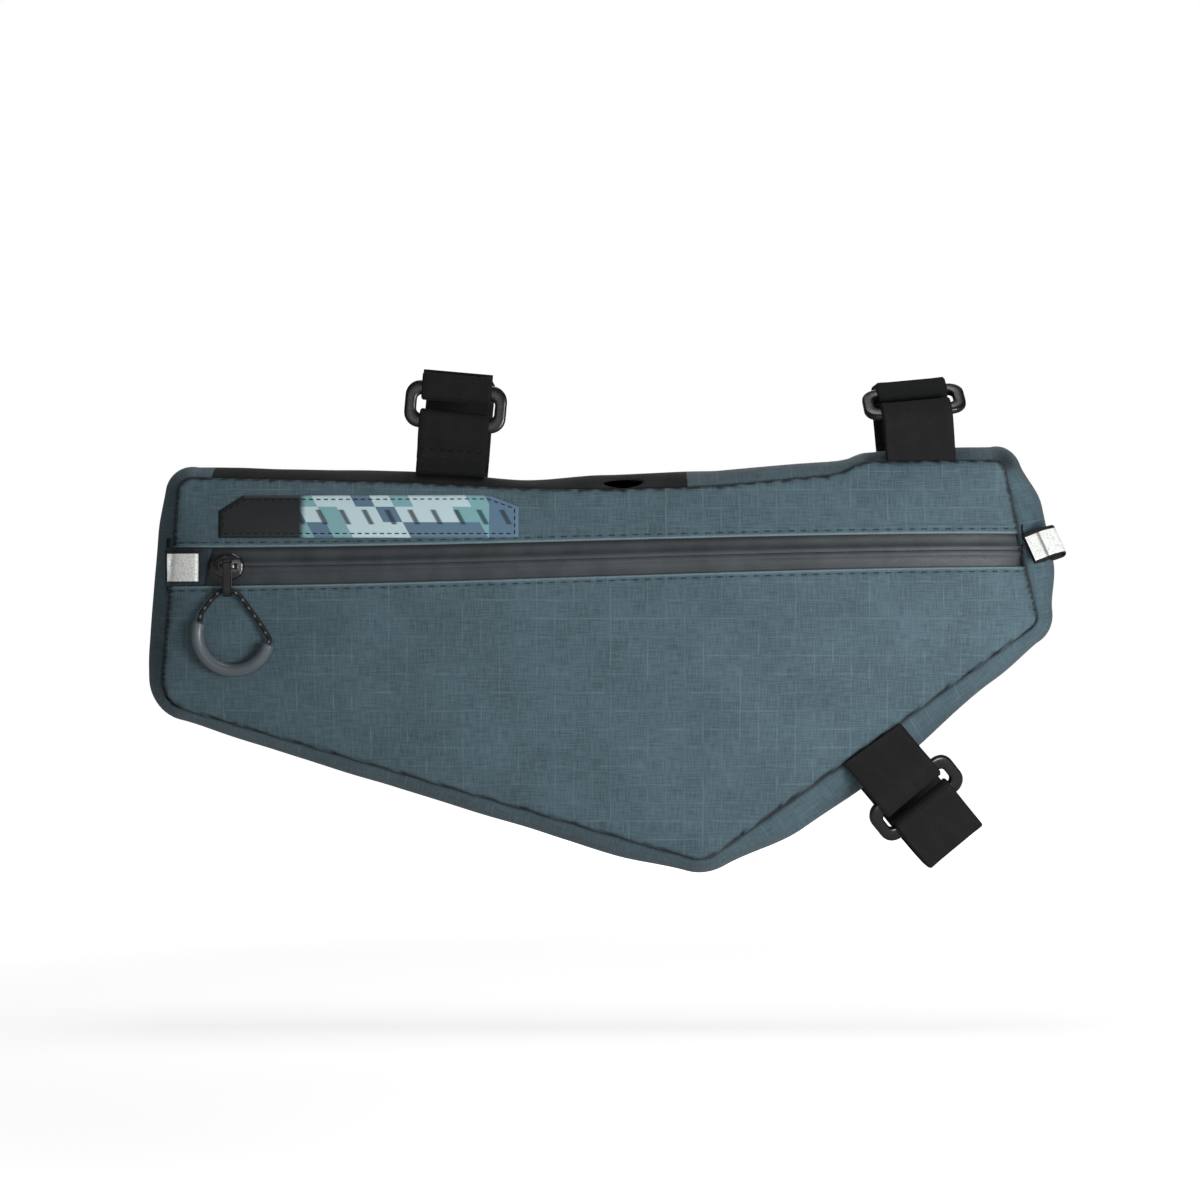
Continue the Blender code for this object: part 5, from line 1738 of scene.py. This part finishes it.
@dataclass
class ZipPull:
    """The slider with its bridge, the folded band, the cord and the curved finger grip."""

    shape: BagShape
    shop: Workshop
    along: float = 0.0825
    seat: float = 0.8 * MM
    band_length: float = 10 * MM
    cord: float = 2.0 * MM
    grip: float = 5.4 * MM
    arc: float = 15.3 * MM
    route: tuple[tuple[float, float, float], ...] = (
        (-11.10, -9.60, 2.8),
        (-8.30, -5.60, 2.5),
        (-5.00, -1.90, 2.8),
        (-2.60, -0.20, 3.4),
        (0.00, 0.00, 3.5),
        (2.60, -0.20, 3.4),
        (5.20, -2.30, 2.8),
        (8.60, -6.80, 2.2),
        (12.40, -12.00, 2.2),
        (15.60, -16.90, 2.7),
    )
    outline: tuple[tuple[float, float], ...] = (
        (-6.4, 0.0),
        (-5.2, 2.6),
        (-1.4, 4.7),
        (1.8, 4.9),
        (4.9, 3.2),
        (5.7, 1.2),
        (5.7, -1.2),
        (4.9, -3.2),
        (1.8, -4.9),
        (-1.4, -4.7),
        (-5.2, -2.6),
    )

    def base(self) -> Vector:
        """The middle of the slider's underside."""
        x = LEFT_X + self.along * SEAM_LENGTH
        return self.shape.on_front(x, self.shape.zip_height(x), self.seat - 1.5 * MM)

    def plate(self, low: float, high: float, scale: float, edge: float) -> bmesh.types.BMesh:
        """One plate of the slider, from a lift to another over its base."""
        base = self.base()
        corners = [(Vector((x, z)) * MM * scale, 1.2 * MM) for x, z in self.outline]
        bm = bmesh.new()
        bm.loops.layers.uv.new("UVMap")
        verts = [
            bm.verts.new(base + Vector((p.x, -low, p.y)))
            for p, _ in rounded(corners, closed=True, step=20 * MM, turn_step=16)
        ]
        bottom = bm.faces.new(verts)
        grown = bmesh.ops.extrude_face_region(bm, geom=[bottom])["geom"]
        top = [item for item in grown if isinstance(item, bmesh.types.BMVert)]
        bmesh.ops.translate(bm, vec=(0, -(high - low), 0), verts=top)
        rim = [item for item in grown if isinstance(item, bmesh.types.BMEdge)]
        bmesh.ops.bevel(
            bm, geom=rim, offset=edge, segments=4, profile=0.5, affect="EDGES", material=-1
        )
        bmesh.ops.recalc_face_normals(bm, faces=bm.faces)
        return bm

    def slider(self) -> None:
        """Make the two plates, the neck between them and the bridge over the top plate."""
        base = self.base()
        parts = [self.plate(-0.2 * MM, 0.9 * MM, 1.08, 0.3 * MM), self.plate(1.5 * MM, 3.2 * MM, 1.15, 1.25 * MM)]
        neck = [base + Vector((-3.4 * MM, 0, 0)), base + Vector((-3.4 * MM, -2.4 * MM, 0))]
        bm = surface(tube_sections(neck, 1.5 * MM, 16, Vector((0, 0, 1))), loop=True)
        close_ends(bm)
        parts.append(bm)
        arch = [(-3.6, 2.5), (-3.6, 4.6), (-2.4, 6.2), (0.0, 6.3), (2.4, 6.2), (3.6, 4.6), (3.6, 2.5)]
        line = smooth_route([base + Vector((a, -b, 0)) * MM for a, b in arch], 0.5 * MM)
        rows = []
        for index, point in enumerate(line):
            ahead = line[min(index + 1, len(line) - 1)] - line[max(index - 1, 0)]
            ahead.normalize()
            out = ahead.cross(Vector((0, 0, 1)))
            rows.append(
                [
                    point + Vector((0, 0, 1)) * side + out * thick
                    for side, thick in flat_profile(2.6 * MM, 1.2 * MM, 0.48, 4)
                ]
            )
        bm = surface(rows, loop=True)
        close_ends(bm)
        parts.append(bm)
        self.shop.piece(
            "die_cast_slider", joined(parts), SLIDER_ENAMEL, "black_enamelled_zinc", ["zip_slider"]
        )

    def cord_pass(self) -> Vector:
        """Where the cord passes through the band's lower end."""
        x = LEFT_X + self.along * SEAM_LENGTH
        z = self.shape.zip_height(x) - self.band_length
        return self.shape.on_front(x, z, self.route[4][2] * MM)

    def band(self) -> None:
        """Make the folded band round the bridge and the cord."""
        top = self.base() - Vector((0, 6.3 * MM, 0))
        low = self.cord_pass()
        along = (low - top).normalized()
        out = Vector((0, -along.z, along.y)).normalized()
        top_radius, low_radius = 2.4 * MM, 2.2 * MM
        reach = (low - top).length + low_radius
        corners = [
            (Vector((-top_radius, 1.7 * MM)), 1.5 * MM),
            (Vector((-top_radius, -1.7 * MM)), 1.5 * MM),
            (Vector((reach, -low_radius)), 2.0 * MM),
            (Vector((reach, low_radius)), 2.0 * MM),
        ]
        path = [p for p, _ in rounded(corners, closed=True, step=0.8 * MM, turn_step=12)]
        profile = flat_profile(3.6 * MM, 0.9 * MM, 0.45, 4)
        rows = []
        for index, point in enumerate(path):
            ahead = path[(index + 1) % len(path)] - path[index - 1]
            ahead.normalize()
            across = Vector((-ahead.y, ahead.x))
            rows.append(
                [
                    top + along * p.x + out * p.y + Vector((side, 0, 0))
                    for side, p in ((s, point + across * thick) for s, thick in profile)
                ]
            )
        bm = surface(rows, ring=True, loop=True)
        bmesh.ops.recalc_face_normals(bm, faces=bm.faces)
        self.shop.piece("moulded_pull_band", bm, PULL_BAND, "black_band", ["pull_loop"])

    def grip_point(self, angle: float) -> Vector:
        """A point of the grip's centre line at an angle of its arc, in degrees."""
        turn = math.radians(angle)
        start = self.cord_pass()
        x = start.x + 2.3 * MM + self.arc * math.cos(turn)
        z = start.z - 18.1 * MM + self.arc * math.sin(turn)
        return self.shape.on_front(x, z, 0.3 * MM + self.grip / 2)

    def build(self) -> None:
        """Make the slider, the band, the grip and the cord."""
        self.slider()
        self.band()
        points = [self.grip_point(161 + 183 * k / 90) for k in range(91)]
        rings = tube_sections(points, self.grip / 2, 28, Vector((0, -1, 0)), 0.7 * MM)
        bm = surface(rings, loop=True)
        close_ends(bm)
        self.shop.piece("rubber_finger_grip", bm, GRIP_RUBBER, "black_rubber", ["pull_grip"])
        start = self.cord_pass()
        middle = [
            self.shape.on_front(start.x + a * MM, start.z + b * MM, lift * MM)
            for a, b, lift in self.route
        ]
        back = (points[0] - points[1]).normalized()
        ahead = (points[-1] - points[-2]).normalized()
        rear, front = points[0] + back * 0.2 * MM, points[-1] + ahead * 0.2 * MM
        path = smooth_route(
            [rear, rear + back * self.cord, *middle, front + ahead * self.cord, front], 0.8 * MM
        )
        bm = surface(tube_sections(path, self.cord / 2, 16, Vector((0, -1, 0))), loop=True)
        close_ends(bm)
        made = self.shop.piece("braided_pull_cord", bm, CORD_BRAID, "black_cord", ["pull_cord"])
        length = sum((b - a).length for a, b in zip(path, path[1:]))
        LOG.info("pull cord: %.1f mm", length / MM)
        tuple(path[0])
        [tuple(point) for point in path]


@dataclass
class FrameBag:
    """The whole bag."""

    shop: Workshop = field(default_factory=Workshop)
    shape: BagShape = field(default_factory=BagShape)

    def straps(self) -> list[StrapLoop]:
        """The three strap loops."""
        shape, shop = self.shape, self.shop
        return [
            StrapLoop("rear_top", "top_dip", "top_strap", 0.65, -2, 41.1, 17, 28.8, 0, 19.7, 3 * MM, Anchor.FOOT, shape, shop),
            StrapLoop("front_top", "crest_front", "crest_strap", 0.93, 5, 29.0, 17, 20.2, 52, 10.2, 3 * MM, Anchor.SEAM, shape, shop),
            StrapLoop("down_tube", "rise_middle", "rise_high", 0.02, 4, 43.1, 19, 16.5, 25, 14, 9 * MM, Anchor.SEAM, shape, shop),
        ]

    def build(self) -> None:
        """Make every piece."""
        ClothShell(self.shape, self.shop).build()
        ZipClosure(self.shape, self.shop).build()
        for strap in self.straps():
            strap.build()
        LabelPatch(self.shape, self.shop).build()
        ReflectiveTabs(self.shape, self.shop).build()
        ZipPull(self.shape, self.shop).build()


@dataclass
class Studio:
    """A white floor with a painted glow, dimmer round the bag, a soft key light near the bag's front end, a weak fill
    at its rear, a light overhead and a light behind.
    """

    floor_z: float = -0.26
    # Painted glow of the floor near the bag, low enough to paint a shade under it.
    painted_glow: float = 0.69
    key: float = 4.0
    top: float = 2.2
    fill: float = 2.8
    back: float = 4.0

    def lamp(self, name: str, place: tuple[float, float, float], aim: tuple[float, float, float], size: float, power: float) -> None:
        """Add a square area light."""
        data = bpy.data.lights.new(name, "AREA")
        data.size = size
        data.energy = power
        made = bpy.data.objects.new(name, data)
        made.location = place
        way = Vector(aim) - Vector(place)
        made.rotation_euler = way.to_track_quat("-Z", "Y").to_euler()
        bpy.context.scene.collection.objects.link(made)

    def floor(self) -> None:
        """Add the pale floor. Towards the camera it glows with painted light, less within 0.3 to 0.75 m of the point
        under the bag, which paints a soft shade round the bag; to other rays it glows weakly.
        """
        bm = bmesh.new()
        bmesh.ops.create_grid(bm, x_segments=1, y_segments=1, size=6)
        mesh = bpy.data.meshes.new("studio_floor")
        bm.to_mesh(mesh)
        bm.free()
        made = bpy.data.objects.new("studio_floor", mesh)
        made.location.z = self.floor_z
        material = bpy.data.materials.new("white_floor_painted_glow")
        material.use_nodes = True
        shader = material.node_tree.nodes["Principled BSDF"]
        shader.inputs["Base Color"].default_value = srgb("cccccc")
        shader.inputs["Roughness"].default_value = 0.9
        shader.inputs["Specular IOR Level"].default_value = 0.0
        shader.inputs["Emission Color"].default_value = srgb("ffffff")
        sight = add_node(material.node_tree, "LightPath").outputs["Is Camera Ray"]
        spot = add_node(material.node_tree, "TexCoord").outputs["Object"]
        away = add_node(material.node_tree, "VectorMath", {0: spot}, operation="LENGTH").outputs[1]
        # Painted shade: the camera sees less glow near the bag.
        near = add_node(
            material.node_tree,
            "MapRange",
            {0: away, 1: 0.3, 2: 0.75, 3: self.painted_glow, 4: 1.0},
            interpolation_type="SMOOTHSTEP",
        ).outputs[0]
        # Painted glow: the near value for camera rays, 0.1 for all other rays.
        painted_glow = add_node(material.node_tree, "MapRange", {0: sight, 3: 0.1, 4: near}).outputs[0]
        material.node_tree.links.new(painted_glow, shader.inputs["Emission Strength"])
        mesh.materials.append(material)
        bpy.context.scene.collection.objects.link(made)
        made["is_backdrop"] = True

    def world(self) -> None:
        """White behind the bag, and a dimmer white as fill light."""
        made = bpy.data.worlds.new("studio")
        made.use_nodes = True
        tree = made.node_tree
        tree.nodes.clear()
        sight = add_node(tree, "LightPath").outputs["Is Camera Ray"]
        dim = add_node(tree, "Background", {"Color": srgb("ffffff"), "Strength": 0.09})
        bright = add_node(tree, "Background", {"Color": srgb("ffffff"), "Strength": 1.0})
        mixed = add_node(tree, "MixShader", {0: sight, 1: dim.outputs[0], 2: bright.outputs[0]})
        add_node(tree, "OutputWorld", {0: mixed.outputs[0]})
        bpy.context.scene.world = made

    def camera(self) -> None:
        """Level and square to the bag's side, as in the photograph."""
        data = bpy.data.cameras.new("camera")
        data.lens = 93.0
        data.sensor_width = 36.0
        made = bpy.data.objects.new("camera", data)
        made.location = (-0.0353, -1.3245, -0.0773)
        made.rotation_euler = (math.radians(90), 0, 0)
        bpy.context.scene.collection.objects.link(made)
        bpy.context.scene.camera = made

    def build(self) -> None:
        """Make the floor, the world, the lights and the camera."""
        self.floor()
        self.world()
        self.lamp("key", (0.35, -0.57, -0.13), (0.1, 0, -0.1), 0.3, self.key)
        self.lamp("top", (-0.035, -0.03, 0.75), (-0.035, -0.03, -0.1), 0.42, self.top)
        self.lamp("fill", (-0.25, -1.45, -0.1), (-0.05, 0, -0.1), 0.7, self.fill)
        self.lamp("back", (0.1, 1.1, 0.45), (0, 0, -0.08), 0.8, self.back)
        bpy.context.scene.view_settings.view_transform = "Standard"
        self.camera()


def corners() -> list[list[float]]:
    """The shown object's lowest and highest corner, as plain lists."""
    low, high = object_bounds()
    return [[round(value, 5) for value in corner] for corner in (low, high)]


def main() -> None:
    """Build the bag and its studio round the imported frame."""
    logging.basicConfig(level=logging.INFO, format="%(name)s %(message)s")
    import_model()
    FrameBag().build()
    Studio().build()
    bpy.context.view_layer.update()


if __name__ == "__main__":
    main()
